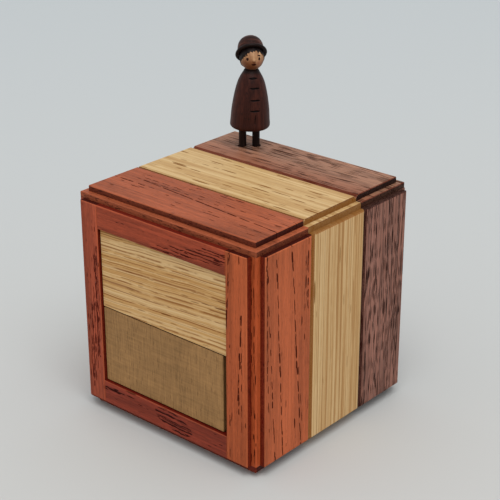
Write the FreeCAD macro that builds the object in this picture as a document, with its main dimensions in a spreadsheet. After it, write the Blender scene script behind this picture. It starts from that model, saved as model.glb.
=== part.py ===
import FreeCAD, Part
import math
import os

import Sketcher
from FreeCAD import Placement, Rotation, Vector

# Wooden trick box of three woods with a sprung peg figure.
# Frame: millimetres, +Z up, +X to the right seen from the front, +Y into the box.
# Origin at the middle of the face that the box stands on.

doc = FreeCAD.newDocument("trick_box")
sheet = doc.addObject("Spreadsheet::Sheet", "dims")

TABLE = [
    # outer box
    ("half", 50.5, "half width and half depth over the proud faces"),
    ("height", 101.5, "height over the proud faces"),
    ("margin", 5.0, "inset of each proud plate from the next proud plane"),
    ("step", 2.5, "depth of each step in the stepped edges"),
    ("seam_front", -16.75, "joint between the front and the middle boards"),
    ("seam_rear", 17.1, "joint between the middle and the rear boards"),
    ("vee_front", 0.55, "leg of the bevels along the front seams, top and bottom"),
    ("vee_rear", 1.3, "leg of the bevels along the rear seams, top and bottom"),
    ("vee_side", 1.35, "leg of the bevels along the upright seams of the sides"),
    ("ease", 0.3, "bevel that eases the visible edges"),
    ("walnut_short", 0.4, "how much shorter the rear top board is at its right end"),
    # front frame
    ("win_left", -36.05, "left side of the window in the front frame"),
    ("win_right", 34.5, "right side of the window"),
    ("win_low", 15.2, "bottom of the window"),
    ("win_high", 86.0, "top of the window"),
    # drawer bay
    ("bay_gap", 0.1, "how far the bay walls stand back from the window's sides"),
    ("bay_wall", 3.0, "thickness of the bay walls and the partition"),
    ("bay_back", 20.0, "front face of the partition"),
    ("deck_thick", 2.5, "thickness of the deck, the shelf and the ceiling"),
    ("shelf_top", 51.0, "top of the shelf between the drawers"),
    ("ceiling_low", 86.6, "underside of the ceiling over the upper drawer"),
    ("shelf_front", -43.4, "front edge of the shelf"),
    ("stop_rear", -33.0, "rear face of the drawer stops"),
    ("stop_deep", 3.0, "depth of the drawer stops, front to back"),
    ("stop_tall", 2.0, "height of the drawer stops"),
    # drawers
    ("play", 0.35, "gap round the drawer fronts in the window"),
    ("run_gap", 0.2, "gap under the sliding boards"),
    ("front_thick", 3.5, "thickness of the drawer fronts"),
    ("upper_recess", 1.25, "recess of the upper drawer front behind the frame"),
    ("lower_recess", 1.4, "recess of the lower drawer front"),
    ("split_low", 50.2, "top edge of the lower drawer front"),
    ("split_high", 50.65, "bottom edge of the upper drawer front"),
    ("lower_right", 31.7, "right edge of the lower drawer front"),
    ("drawer_wall", 2.5, "thickness of the drawer sides and backs"),
    ("drawer_floor", 2.0, "thickness of the drawer bottoms"),
    ("drawer_rear", 19.5, "rear face of the drawer backs"),
    ("upper_side_top", 82.0, "top of the upper drawer's sides"),
    ("upper_back_top", 86.2, "top of the upper drawer's back"),
    ("lower_side_top", 45.0, "top of the lower drawer's sides"),
    ("lower_back_top", 48.1, "top of the lower drawer's back"),
    ("fork_bar", 1.6, "width of the fork bars behind the drawers"),
    ("fork_start", 7.0, "front end of the fork bars, let into the drawer bottoms"),
    ("fork_end", 41.0, "rear end of the fork bars"),
    ("upper_fork_gap", 7.8, "gap between the upper drawer's fork bars"),
    ("lower_fork_gap", 5.6, "gap between the lower drawer's fork bars"),
    ("catch_gap", 5.8, "gap between the upper fork's catches"),
    ("catch_behind", 4.0, "how far the upper catches lie behind the stem's axis"),
    ("bar_behind", 2.9, "how far the lower fork's cross bar lies behind the stem's axis"),
    # figure
    ("jack_x", -27.33, "figure's axis"),
    ("jack_y", 34.83, "figure's axis"),
    ("face_turn", 45.0, "turn of the figure towards the front right corner, degrees"),
    ("leg_pitch", 5.95, "distance between the legs"),
    ("leg_dia", 3.35, "leg diameter"),
    ("leg_hole_dia", 4.02, "leg hole diameter"),
    ("leg_hole_out", 0.215, "how far each leg hole is drilled outside its leg's axis"),
    ("leg_socket", 4.0, "depth of the leg sockets in the coat"),
    ("coat_low", 8.75, "coat's lower edge above the top boards"),
    ("coat_high", 35.0, "coat's neck above the top boards"),
    ("coat_rad", 8.82, "largest coat radius"),
    ("neck_rad", 2.75, "collar radius at the neck"),
    ("head_rad", 5.2, "head radius"),
    ("head_mid", 40.0, "head's centre above the top boards"),
    ("hair_thick", 0.35, "thickness of the hair cap"),
    ("nose_rad", 0.62, "nose radius"),
    ("nose_down", 36.5, "how far the nose lies below the head's own level, degrees"),
    ("fringe_low", 2.4, "lower edge of the hair over the face, above the head's centre"),
    ("head_tilt", 36.0, "how far the head leans back, degrees"),
    ("hat_tilt", 49.0, "how far the hat leans back, degrees"),
    ("head_roll", 7.0, "how far they lean to the side, degrees"),
    ("figure_lean", 1.7, "how far the coat stands out of true on its legs, degrees"),
    ("face_more", 12.0, "how far the face turns beyond the coat, degrees"),
    ("brim_rad", 6.95, "hat brim radius"),
    ("brim_low", 1.9, "brim's underside above the head's centre, along the hat"),
    ("brim_thick", 1.25, "brim thickness"),
    ("crown_rad", 5.75, "crown radius"),
    ("crown_top", 10.9, "top of the crown above the head's centre, along the hat"),
    # spring and lock
    ("lifter_top_gap", 0.3, "gap between the lifter block and the top board"),
    ("lifter_tall", 6.3, "height of the lifter block"),
    ("lifter_long", 16.0, "length of the lifter block along the legs"),
    ("lifter_wide", 12.0, "width of the lifter block"),
    ("stem_dia", 5.0, "lock stem diameter"),
    ("stem_socket", 3.0, "depth of the stem's socket in the lifter block"),
    ("stem_low", 20.2, "lower end of the wooden stem"),
    ("collar_wide", 7.2, "width of the square lock collar"),
    ("collar_low", 54.0, "lower end of the lock collar"),
    ("collar_high", 61.5, "upper end of the lock collar"),
    ("disc_thick", 2.0, "strike disc thickness"),
    ("magnet_dia", 6.0, "magnet diameter"),
    ("magnet_thick", 2.0, "magnet thickness"),
    ("post_dia", 10.0, "magnet post diameter"),
    ("post_tall", 2.8, "magnet post height"),
    ("guide_low", 63.0, "underside of the guide shelf"),
    ("guide_thick", 3.0, "guide shelf thickness"),
    ("guide_right", -10.0, "right edge of the guide shelf"),
    ("guide_hole", 5.4, "guide hole diameter"),
    ("coil_dia", 8.6, "spring diameter at the middle of the wire"),
    ("wire_dia", 0.9, "spring wire diameter"),
    ("coil_turns", 6.0, "number of turns"),
]


class Size:
    """A number together with the expression that gives it from the sheet."""

    def __init__(self, number, text):
        self.number = float(number)
        self.text = text

    @staticmethod
    def of(other):
        if isinstance(other, Size):
            return other
        return Size(other, "%.6g" % other if other >= 0 else "(%.6g)" % other)

    def __add__(self, other):
        o = Size.of(other)
        return Size(self.number + o.number, "(%s + %s)" % (self.text, o.text))

    def __radd__(self, other):
        return Size.of(other) + self

    def __sub__(self, other):
        o = Size.of(other)
        return Size(self.number - o.number, "(%s - %s)" % (self.text, o.text))

    def __rsub__(self, other):
        return Size.of(other) - self

    def __mul__(self, other):
        o = Size.of(other)
        return Size(self.number * o.number, "(%s * %s)" % (self.text, o.text))

    def __rmul__(self, other):
        return Size.of(other) * self

    def __truediv__(self, other):
        o = Size.of(other)
        return Size(self.number / o.number, "(%s / %s)" % (self.text, o.text))

    def __neg__(self):
        return Size(-self.number, "(0 - %s)" % self.text)


D = {}
for row, (alias, number, note) in enumerate(TABLE, start=1):
    sheet.set("A%d" % row, note)
    sheet.set("B%d" % row, "%.6g" % number)
    sheet.setAlias("B%d" % row, alias)
    D[alias] = Size(number, "dims." + alias)
doc.recompute()

SUBPARTS = []


def plane_of(body, role):
    for feature in body.Origin.OriginFeatures:
        if feature.Role == role:
            return feature
    raise RuntimeError("no origin plane " + role)


def bind(obj, prop, size):
    if isinstance(size, Size):
        obj.setExpression(prop, size.text)


def number(size):
    return size.number if isinstance(size, Size) else float(size)


def outline(body, name, role, points, lift=None):
    """Closed outline with every corner bound to the sheet."""
    sk = body.newObject("Sketcher::SketchObject", name)
    sk.AttachmentSupport = [(plane_of(body, role), "")]
    sk.MapMode = "FlatFace"
    if lift is not None:
        sk.AttachmentOffset = Placement(Vector(0, 0, number(lift)), Rotation())
        bind(sk, "AttachmentOffset.Base.z", lift)
    count = len(points)
    pts = [Vector(number(x), number(y), 0) for x, y in points]
    for i in range(count):
        sk.addGeometry(Part.LineSegment(pts[i], pts[(i + 1) % count]), False)
    for i in range(count):
        sk.addConstraint(Sketcher.Constraint("Coincident", i, 2, (i + 1) % count, 1))
    for i, (x, y) in enumerate(points):
        for kind, size, tag in (("DistanceX", x, "px%d"), ("DistanceY", y, "py%d")):
            index = sk.addConstraint(
                Sketcher.Constraint(kind, -1, 1, i, 1, number(size)))
            sk.renameConstraint(index, tag % i)
            bind(sk, "Constraints." + tag % i, size)
    return sk


def pad(body, name, sk, length, back=False):
    feature = body.newObject("PartDesign::Pad", name)
    feature.Profile = sk
    feature.Length = number(length)
    bind(feature, "Length", length)
    feature.Reversed = back
    return feature


def convex_edges(shape, keep=None):
    """Names of the straight convex edges whose middle passes the test."""
    names = []
    for i, edge in enumerate(shape.Edges, start=1):
        if edge.Curve.TypeId != "Part::GeomLine":
            continue
        faces = shape.ancestorsOfType(edge, Part.Face)
        if len(faces) != 2:
            continue
        mid = edge.valueAt((edge.FirstParameter + edge.LastParameter) / 2.0)
        along = edge.tangentAt((edge.FirstParameter + edge.LastParameter) / 2.0)
        normals = []
        for face in faces:
            u, v = face.Surface.parameter(mid)
            normals.append(face.normalAt(u, v))
        into = normals[0].cross(along) * 0.02
        if not faces[0].isInside(mid + into, 1e-4, True):
            into = into * -1.0
        if normals[1].dot(into) >= -1e-6:
            continue
        if keep is None or keep(mid, along):
            names.append("Edge%d" % i)
    return names


def bevel(body, name, base, size, keep=None):
    doc.recompute()
    names = convex_edges(base.Shape, keep)
    if not names:
        raise RuntimeError("no edges to bevel on " + body.Label)
    feature = body.newObject("PartDesign::Chamfer", name)
    feature.Base = (base, names)
    feature.Size = number(size)
    bind(feature, "Size", size)
    before = base.Shape.Volume
    doc.recompute()
    if not feature.Shape.Volume < before:
        raise RuntimeError("bevel removed nothing on " + body.Label)
    return feature


def new_body(label):
    body = doc.addObject("PartDesign::Body", label)
    body.Label = label
    return body


def place(obj, x=None, y=None, z=None, rotation=None):
    obj.Placement = Placement(
        Vector(number(x or 0), number(y or 0), number(z or 0)), rotation or Rotation())
    for axis, size in (("x", x), ("y", y), ("z", z)):
        if size is not None:
            bind(obj, "Placement.Base." + axis, size)


def prism(label, points, low, high, ease=None, register=True):
    """Upright piece: plan outline, from low to high."""
    body = new_body(label)
    sk = outline(body, label + "_plan", "XY_Plane", points)
    feature = pad(body, label + "_pad", sk, high - low)
    place(body, z=low)
    if ease is not None:
        bevel(body, label + "_ease", feature, ease)
    if register:
        SUBPARTS.append(body)
    return body


def rect(x0, x1, y0, y1):
    return [(x0, y0), (x1, y0), (x1, y1), (x0, y1)]


def board(label, x0, x1, y0, y1, low, high, ease=None, register=True):
    return prism(label, rect(x0, x1, y0, y1), low, high, ease, register)


def cylinder(name, radius, tall, x, y, z, rotation=None):
    obj = doc.addObject("Part::Cylinder", name)
    obj.Radius = number(radius)
    bind(obj, "Radius", radius)
    obj.Height = number(tall)
    bind(obj, "Height", tall)
    place(obj, x, y, z, rotation)
    return obj


def block(name, x0, x1, y0, y1, low, high):
    obj = doc.addObject("Part::Box", name)
    for prop, size in (("Length", x1 - x0), ("Width", y1 - y0), ("Height", high - low)):
        setattr(obj, prop, number(size))
        bind(obj, prop, size)
    place(obj, x0, y0, low)
    return obj


def cut(label, base, tools, register=True):
    """Base with the tools taken away, one after the other."""
    current = base
    for i, tool in enumerate(tools):
        obj = doc.addObject("Part::Cut", "%s_cut%d" % (label, i))
        obj.Base = current
        obj.Tool = tool
        doc.recompute()
        if not obj.Shape.Volume < current.Shape.Volume - 1e-6:
            raise RuntimeError("cut removed nothing on " + label)
        current = obj
    if base.Label == label:
        base.Label = label + "_blank"
    current.Label = label
    if register:
        SUBPARTS.append(current)
    return current


half, height = D["half"], D["height"]
margin, step, ease, vee = D["margin"], D["step"], D["ease"], D["vee_side"]
plate = half - margin            # half width of each proud plate
lip = half - step                # half width of each stepped lip
wall_low = margin                # lower end of the upright boards
wall_high = height - margin      # upper end of the upright boards
post_in = lip - margin           # inner side of the corner posts

# ---------------------------------------------------------------- outer boards
# Each top and bottom board is a proud plate on a lip that is one step wider.


def lying_board(label, y0_lip, y0_plate, y1_lip, y1_plate, top, seams, short=0.0):
    body = new_body(label)
    right = plate - short
    lip_right = lip - short
    lip_pts = rect(-lip, lip_right, y0_lip, y1_lip)
    plate_pts = rect(-plate, right, y0_plate, y1_plate)
    if top:
        first = pad(body, label + "_lip", outline(
            body, label + "_lip_plan", "XY_Plane", lip_pts), margin - step)
        second = pad(body, label + "_plate", outline(
            body, label + "_plate_plan", "XY_Plane", plate_pts, lift=margin - step), step)
        place(body, z=wall_high)
        face_z = number(margin)
    else:
        first = pad(body, label + "_plate", outline(
            body, label + "_plate_plan", "XY_Plane", plate_pts), step)
        second = pad(body, label + "_lip", outline(
            body, label + "_lip_plan", "XY_Plane", lip_pts, lift=step), margin - step)
        place(body, z=Size.of(0.0))
        face_z = 0.0
    doc.recompute()
    # V-groove bevels along the seams on the outer face
    where = [number(D[s]) for s in seams]
    groove = second
    for s in seams:
        groove = bevel(
            body, label + "_" + s, groove, D[s.replace("seam", "vee")],
            lambda p, t: abs(p.z - face_z) < 1e-4 and abs(p.y - number(D[s])) < 1e-4)
    # eased edges on the steps and the seam ends, not on the hidden inner face
    hidden_z = 0.0 if top else number(margin)
    bevel(
        body, label + "_ease", groove, ease,
        lambda p, t: abs(p.z - hidden_z) > 1e-3
        and not (abs(t.x) > 0.9 and any(abs(p.y - s) < 2.0 for s in where)))
    SUBPARTS.append(body)
    return body


lying_board("top_board_padauk", -lip, -plate, D["seam_front"], D["seam_front"], True,
            ["seam_front"])
lying_board("top_board_oak", D["seam_front"], D["seam_front"], D["seam_rear"],
            D["seam_rear"], True, ["seam_front", "seam_rear"])
walnut_top = lying_board("top_board_walnut", D["seam_rear"], D["seam_rear"], lip, plate,
                         True, ["seam_rear"], short=D["walnut_short"])
lying_board("bottom_board_padauk", -lip, -plate, D["seam_front"], D["seam_front"], False,
            ["seam_front"])
lying_board("bottom_board_oak", D["seam_front"], D["seam_front"], D["seam_rear"],
            D["seam_rear"], False, ["seam_front", "seam_rear"])
lying_board("bottom_board_walnut", D["seam_rear"], D["seam_rear"], lip, plate, False,
            ["seam_rear"])


def side_outline(sign, kind):
    """Plan outline of a side board, rabbeted over the corner post at one end."""
    outer, inner, mid = sign * half, sign * plate, sign * lip
    groove = sign * (half - vee)
    if kind == "padauk":
        pts = [(mid, -plate), (outer, -plate), (outer, D["seam_front"] - vee),
               (groove, D["seam_front"]), (inner, D["seam_front"]),
               (inner, -post_in), (mid, -post_in)]
    elif kind == "oak":
        pts = [(inner, D["seam_front"]), (groove, D["seam_front"]),
               (outer, D["seam_front"] + vee), (outer, D["seam_rear"] - vee),
               (groove, D["seam_rear"]), (inner, D["seam_rear"])]
    else:
        pts = [(mid, plate), (outer, plate), (outer, D["seam_rear"] + vee),
               (groove, D["seam_rear"]), (inner, D["seam_rear"]),
               (inner, post_in), (mid, post_in)]
    return pts


def upright(label, points, low, high, faces):
    """Upright board with its visible edges eased."""
    body = new_body(label)
    feature = pad(body, label + "_pad", outline(
        body, label + "_plan", "XY_Plane", points), high - low)
    place(body, z=low)
    bevel(body, label + "_ease", feature, ease, faces)
    SUBPARTS.append(body)
    return body


for side, sign in (("right", 1.0), ("left", -1.0)):
    for kind in ("padauk", "oak", "walnut"):
        upright("side_%s_%s" % (side, kind), side_outline(sign, kind), wall_low, wall_high,
                lambda p, t: abs(p.x) > number(half) - 1e-3)

# back board, rabbeted over the rear posts
upright("back_board",
        [(-plate, half), (-plate, lip), (-post_in, lip), (-post_in, plate),
         (post_in, plate), (post_in, lip), (plate, lip), (plate, half)],
        wall_low, wall_high, lambda p, t: p.y > number(half) - 1e-3)

# square corner posts in the stepped corners
for name, sx, sy in (("post_front_left", -1.0, -1.0), ("post_front_right", 1.0, -1.0),
                     ("post_rear_left", -1.0, 1.0), ("post_rear_right", 1.0, 1.0)):
    xa, xb = sorted((sx * post_in, sx * lip), key=number)
    ya, yb = sorted((sy * post_in, sy * lip), key=number)
    upright(name, rect(xa, xb, ya, yb), wall_low, wall_high,
            lambda p, t: abs(t.z) > 0.9 and abs(p.x) > 47.0 and abs(p.y) > 47.0)

# front frame: two stiles rabbeted over the posts, two rails between them
front_edge = lambda p, t: p.y < -number(half) + 1e-3
upright("front_stile_left",
        [(-plate, -half), (D["win_left"], -half), (D["win_left"], -plate),
         (-post_in, -plate), (-post_in, -lip), (-plate, -lip)],
        wall_low, wall_high, front_edge)
upright("front_stile_right",
        [(D["win_right"], -half), (plate, -half), (plate, -lip), (post_in, -lip),
         (post_in, -plate), (D["win_right"], -plate)],
        wall_low, wall_high, front_edge)
upright("front_rail_top", rect(D["win_left"], D["win_right"], -half, -plate),
        D["win_high"], wall_high, front_edge)
upright("front_rail_bottom", rect(D["win_left"], D["win_right"], -half, -plate),
        wall_low, D["win_low"], front_edge)

# ---------------------------------------------------------------- drawer bay
bay_left = D["win_left"] - D["bay_gap"]
bay_right = D["win_right"] + D["bay_gap"]
board("bay_wall_left", bay_left - D["bay_wall"], bay_left, -plate, D["bay_back"],
      wall_low, wall_high)
board("bay_wall_right", bay_right, bay_right + D["bay_wall"], -plate, D["bay_back"],
      wall_low, wall_high)
board("bay_deck", bay_left, bay_right, -plate, D["bay_back"],
      D["win_low"] - D["deck_thick"], D["win_low"])
board("bay_shelf", bay_left, bay_right, D["shelf_front"], D["bay_back"],
      D["shelf_top"] - D["deck_thick"], D["shelf_top"])
board("bay_ceiling", bay_left, bay_right, -plate, D["bay_back"],
      D["ceiling_low"], D["ceiling_low"] + D["deck_thick"])
board("drawer_stop_upper", bay_left, bay_right, D["stop_rear"] - D["stop_deep"],
      D["stop_rear"], D["ceiling_low"] - D["stop_tall"], D["ceiling_low"])
shelf_low = D["shelf_top"] - D["deck_thick"]
board("drawer_stop_lower", bay_left, bay_right, D["stop_rear"] - D["stop_deep"],
      D["stop_rear"], shelf_low - D["stop_tall"], shelf_low)
board("lower_runner", D["lower_right"] + D["play"], bay_right, -plate + 5.0, D["bay_back"],
      D["win_low"], D["lower_side_top"])

fork_half = {"upper": D["upper_fork_gap"] / 2.0 + D["fork_bar"],
             "lower": D["lower_fork_gap"] / 2.0 + D["fork_bar"]}
upper_floor = D["shelf_top"] + D["run_gap"]
lower_floor = D["win_low"] + D["run_gap"]
bay_rear = D["bay_back"] + D["bay_wall"]
partition = board("partition", -plate, plate, D["bay_back"], bay_rear, wall_low, wall_high,
                  register=False)
slots = []
for name, floor in (("upper", upper_floor), ("lower", lower_floor)):
    slots.append(block(name + "_slot", D["jack_x"] - fork_half[name] - 0.5,
                       D["jack_x"] + fork_half[name] + 0.5, D["bay_back"] - 1.0,
                       bay_rear + 1.0, floor - 0.4, floor + D["drawer_floor"] + 0.4))
cut("partition", partition, slots)

# ---------------------------------------------------------------- drawers
wall = D["drawer_wall"]


def group(label, members):
    """Separate solids of one kind that share a node."""
    obj = doc.addObject("Part::Compound", label)
    obj.Links = members
    obj.Label = label
    doc.recompute()
    SUBPARTS.append(obj)
    return obj


def drawer(name, left, right, face, front_low, front_high, floor, side_top, back_top):
    back_of_front = face + D["front_thick"]
    board(name + "_drawer_front", left, right, face, back_of_front, front_low, front_high,
          ease)
    board(name + "_drawer_side_left", left, left + wall, back_of_front, D["drawer_rear"],
          floor, side_top, ease)
    board(name + "_drawer_side_right", right - wall, right, back_of_front, D["drawer_rear"],
          floor, side_top, ease)
    floor_top = floor + D["drawer_floor"]
    board(name + "_drawer_back", left + wall, right - wall, D["drawer_rear"] - wall,
          D["drawer_rear"], floor_top, back_top)
    # bottom, with two notches at the rear that the fork bars are let into
    outer_half = fork_half[name]
    inner_half = outer_half - D["fork_bar"]
    rear, notch = D["drawer_rear"], D["fork_start"]
    xs = [D["jack_x"] + outer_half, D["jack_x"] + inner_half,
          D["jack_x"] - inner_half, D["jack_x"] - outer_half]
    prism(name + "_drawer_bottom", [
        (left + wall, back_of_front), (right - wall, back_of_front), (right - wall, rear),
        (xs[0], rear), (xs[0], notch), (xs[1], notch), (xs[1], rear),
        (xs[2], rear), (xs[2], notch), (xs[3], notch), (xs[3], rear),
        (left + wall, rear)], floor, floor_top)
    bars = [board("%s_fork_bar_%s" % (name, side), x0, x1, notch, D["fork_end"], floor,
                  floor_top, register=False)
            for side, x0, x1 in (("right", xs[1], xs[0]), ("left", xs[3], xs[2]))]
    group(name + "_drawer_fork_bars", bars)
    return inner_half, floor, floor_top


front_left = D["win_left"] + D["play"]
inner_half, low_z, high_z = drawer(
    "upper", front_left, D["win_right"] - D["play"], -half + D["upper_recess"],
    D["split_high"], D["win_high"] - D["play"] + 0.1, upper_floor,
    D["upper_side_top"], D["upper_back_top"])
# two catches on the upper fork leave room for the stem but not for its lock collar
slot_half = D["catch_gap"] / 2.0
group("upper_drawer_fork_catches", [
    board("upper_catch_" + side, x0, x1, D["jack_y"] + D["catch_behind"], D["fork_end"],
          low_z, high_z, register=False)
    for side, x0, x1 in (
        ("right", D["jack_x"] + slot_half, D["jack_x"] + inner_half),
        ("left", D["jack_x"] - inner_half, D["jack_x"] - slot_half))])
inner_half, low_z, high_z = drawer(
    "lower", front_left, D["lower_right"], -half + D["lower_recess"],
    D["win_low"] + D["play"], D["split_low"], lower_floor,
    D["lower_side_top"], D["lower_back_top"])
# one cross bar on the lower fork passes behind the stem's tip
board("lower_drawer_fork_bar_rear", D["jack_x"] - inner_half, D["jack_x"] + inner_half,
      D["jack_y"] + D["bar_behind"], D["fork_end"], low_z, high_z)

# ---------------------------------------------------------------- figure
turn = math.radians(number(D["face_turn"]))
face_dir = Vector(math.sin(turn), -math.cos(turn), 0)      # the way the figure looks
side_dir = Vector(math.cos(turn), math.sin(turn), 0)       # along the row of legs
jack_x, jack_y = D["jack_x"], D["jack_y"]
side_turn = Rotation(Vector(0, 0, 1), number(D["face_turn"]))
cos_turn = Size(math.cos(turn), "cos(dims.face_turn)")
sin_turn = Size(math.sin(turn), "sin(dims.face_turn)")

# leg holes in the rear top board
holes = []
for name, sign in (("left", -1.0), ("right", 1.0)):
    reach = D["leg_pitch"] / 2.0 + D["leg_hole_out"]
    holes.append(cylinder("leg_hole_" + name, D["leg_hole_dia"] / 2.0, margin + 2.0,
                          jack_x + sign * (reach * cos_turn),
                          jack_y + sign * (reach * sin_turn), wall_high - 1.0))
SUBPARTS.remove(walnut_top)
cut("top_board_walnut", walnut_top, holes)

# lifter block under the top board, legs in it and in the coat
lifter_high = wall_high - D["lifter_top_gap"]
lifter_low = lifter_high - D["lifter_tall"]
leg_low = lifter_low + D["stem_socket"] + 0.3
leg_high = height + D["coat_low"] + D["leg_socket"]
legs = {}
for name, sign in (("left", -1.0), ("right", 1.0)):
    reach = D["leg_pitch"] / 2.0
    legs[name] = (jack_x + sign * (reach * cos_turn), jack_y + sign * (reach * sin_turn))
    leg = cylinder("leg_" + name, D["leg_dia"] / 2.0, leg_high - leg_low,
                   legs[name][0], legs[name][1], leg_low)
    leg.Label = "leg_" + name
    SUBPARTS.append(leg)

lifter = new_body("lifter_block")
lifter_pad = pad(lifter, "lifter_pad", outline(
    lifter, "lifter_plan", "XY_Plane",
    rect(D["lifter_long"] / -2.0, D["lifter_long"] / 2.0,
         D["lifter_wide"] / -2.0, D["lifter_wide"] / 2.0)), D["lifter_tall"])
place(lifter, jack_x, jack_y, lifter_low, side_turn)
bevel(lifter, "lifter_ease", lifter_pad, ease)
lifter_tools = [cylinder("lifter_leg_" + n, D["leg_dia"] / 2.0, D["lifter_tall"],
                         legs[n][0], legs[n][1], leg_low) for n in legs]
lifter_tools.append(cylinder("lifter_stem", D["stem_dia"] / 2.0, D["stem_socket"] + 1.0,
                             jack_x, jack_y, lifter_low - 1.0))
cut("lifter_block", lifter, lifter_tools)


def turned(label, points, x, y, z, rotation=None, spline=None, register=True):
    """Turned piece: half profile in (radius, height), straight or with one smooth run."""
    body = new_body(label)
    sk = body.newObject("Sketcher::SketchObject", label + "_profile")
    sk.AttachmentSupport = [(plane_of(body, "XZ_Plane"), "")]
    sk.MapMode = "FlatFace"
    pts = [Vector(number(r), number(h), 0) for r, h in points]
    if spline:
        first, last = spline
        curve = Part.BSplineCurve()
        curve.interpolate(pts[first:last + 1])
        sk.addGeometry(curve, False)
        ring = pts[last:] + pts[:first + 1]
        ids = list(range(last, len(pts))) + list(range(0, first + 1))
    else:
        ring = pts + [pts[0]]
        ids = list(range(len(pts))) + [0]
    for i in range(len(ring) - 1):
        sk.addGeometry(Part.LineSegment(ring[i], ring[i + 1]), False)
    offset = 1 if spline else 0
    for i in range(len(ring) - 2):
        sk.addConstraint(Sketcher.Constraint("Coincident", offset + i, 2, offset + i + 1, 1))
    if spline:
        sk.addConstraint(Sketcher.Constraint("Coincident", 0, 2, 1, 1))
        sk.addConstraint(Sketcher.Constraint("Coincident", len(ring) - 1, 2, 0, 1))
    else:
        sk.addConstraint(Sketcher.Constraint("Coincident", len(ring) - 2, 2, 0, 1))
    for i in range(len(ring) - 1):
        r, h = points[ids[i]]
        for kind, size, tag in (("DistanceX", r, "pr%d"), ("DistanceY", h, "ph%d")):
            index = sk.addConstraint(
                Sketcher.Constraint(kind, -1, 1, offset + i, 1, number(size)))
            sk.renameConstraint(index, tag % i)
            bind(sk, "Constraints." + tag % i, size)
    revolve = body.newObject("PartDesign::Revolution", label + "_turned")
    revolve.Profile = sk
    revolve.ReferenceAxis = (sk, ["V_Axis"])
    revolve.Angle = 360.0
    place(body, x, y, z, rotation)
    doc.recompute()
    if register:
        SUBPARTS.append(body)
    return body


# coat: bullet-shaped, rounded at the hem, flat underneath
coat_r, low, high = D["coat_rad"], D["coat_low"], D["coat_high"]
tall = high - low
coat_points = [
    (Size.of(0.0), low),
    (coat_r - 2.0, low),
    (coat_r - 0.85, low + 0.28),
    (coat_r - 0.12, low + 1.05),
    (coat_r, low + 2.0),
    (coat_r - 0.17, low + 3.9),
    (coat_r - 0.46, low + 8.1),
    (coat_r - 1.02, low + 12.3),
    (coat_r - 1.80, low + 16.6),
    (coat_r - 2.95, low + 20.9),
    (coat_r - 4.05, low + 23.4),
    (coat_r - 5.05, low + 25.1),
    (D["neck_rad"] + 0.4, high),
    (Size.of(0.0), high),
]
# the coat stands slightly out of true on its legs, about the foot of the axis
out_of_true = Rotation(face_dir, -number(D["figure_lean"]))
coat = turned("coat", coat_points, jack_x, jack_y, height,
              out_of_true.multiply(side_turn), spline=(1, 12), register=False)
axis_dir = out_of_true.multVec(Vector(0, 0, 1))
head_x = jack_x + D["head_mid"] * axis_dir.x
head_y = jack_y + D["head_mid"] * axis_dir.y
head_z = height + D["head_mid"] * axis_dir.z


def sphere(name, radius, x, y, z):
    obj = doc.addObject("Part::Sphere", name)
    obj.Radius = number(radius)
    bind(obj, "Radius", radius)
    place(obj, x, y, z)
    return obj


cut("coat", coat, [cylinder("coat_leg_" + n, D["leg_dia"] / 2.0, D["leg_socket"] + 2.0,
                            legs[n][0], legs[n][1], height + low - 2.0) for n in legs]
    + [sphere("coat_seat", D["head_rad"], head_x, head_y, head_z)])

# head and hair share one leaning frame about the head's centre, the hat sits further back
def leaning(tilt):
    lean = out_of_true.multiply(Rotation(face_dir, number(D["head_roll"]))).multiply(
        Rotation(side_dir, -number(tilt)))
    return lean.multiply(
        Rotation(Vector(0, 0, 1), number(D["face_turn"]) + number(D["face_more"])))


frame_rot = leaning(D["head_tilt"])
hat_rot = leaning(D["hat_tilt"])

collar = turned("collar", [
    (Size.of(0.0), high), (D["neck_rad"] + 0.05, high), (D["neck_rad"] + 0.15, high + 0.3),
    (D["neck_rad"], high + 0.75), (Size.of(0.0), high + 0.75)],
    jack_x, jack_y, height, out_of_true, register=False)
cut("collar", collar, [sphere("collar_seat", D["head_rad"], head_x, head_y, head_z)])

skull = sphere("skull", D["head_rad"], head_x, head_y, head_z)
down = math.radians(number(D["nose_down"]))
nose_dir = frame_rot.multVec(Vector(0, -math.cos(down), -math.sin(down)))
nose = sphere("nose", D["nose_rad"], head_x + D["head_rad"] * nose_dir.x,
              head_y + D["head_rad"] * nose_dir.y, head_z + D["head_rad"] * nose_dir.z)
head = doc.addObject("Part::Fuse", "head")
head.Base = skull
head.Tool = nose
head.Label = "head"
SUBPARTS.append(head)

# hair: a thin cap over the head, open towards the face
hair_out = sphere("hair_out", D["head_rad"] + D["hair_thick"], head_x, head_y, head_z)
hair_in = sphere("hair_in", D["head_rad"], head_x, head_y, head_z)
face_cut = doc.addObject("Part::Box", "face_cut")
face_cut.Length = 20.0
face_cut.Width = 12.0
face_cut.Height = 20.0
corner = frame_rot.multVec(Vector(-10.0, -12.6, number(D["fringe_low"]) - 20.0))
face_cut.Placement = Placement(
    Vector(number(head_x), number(head_y), number(head_z)) + corner, frame_rot)
neck_cut = block("neck_cut", head_x - 8.0, head_x + 8.0, head_y - 8.0, head_y + 8.0,
                 head_z - 9.0, head_z - 2.6)
cut("hair", hair_out, [hair_in, face_cut, neck_cut])

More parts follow.
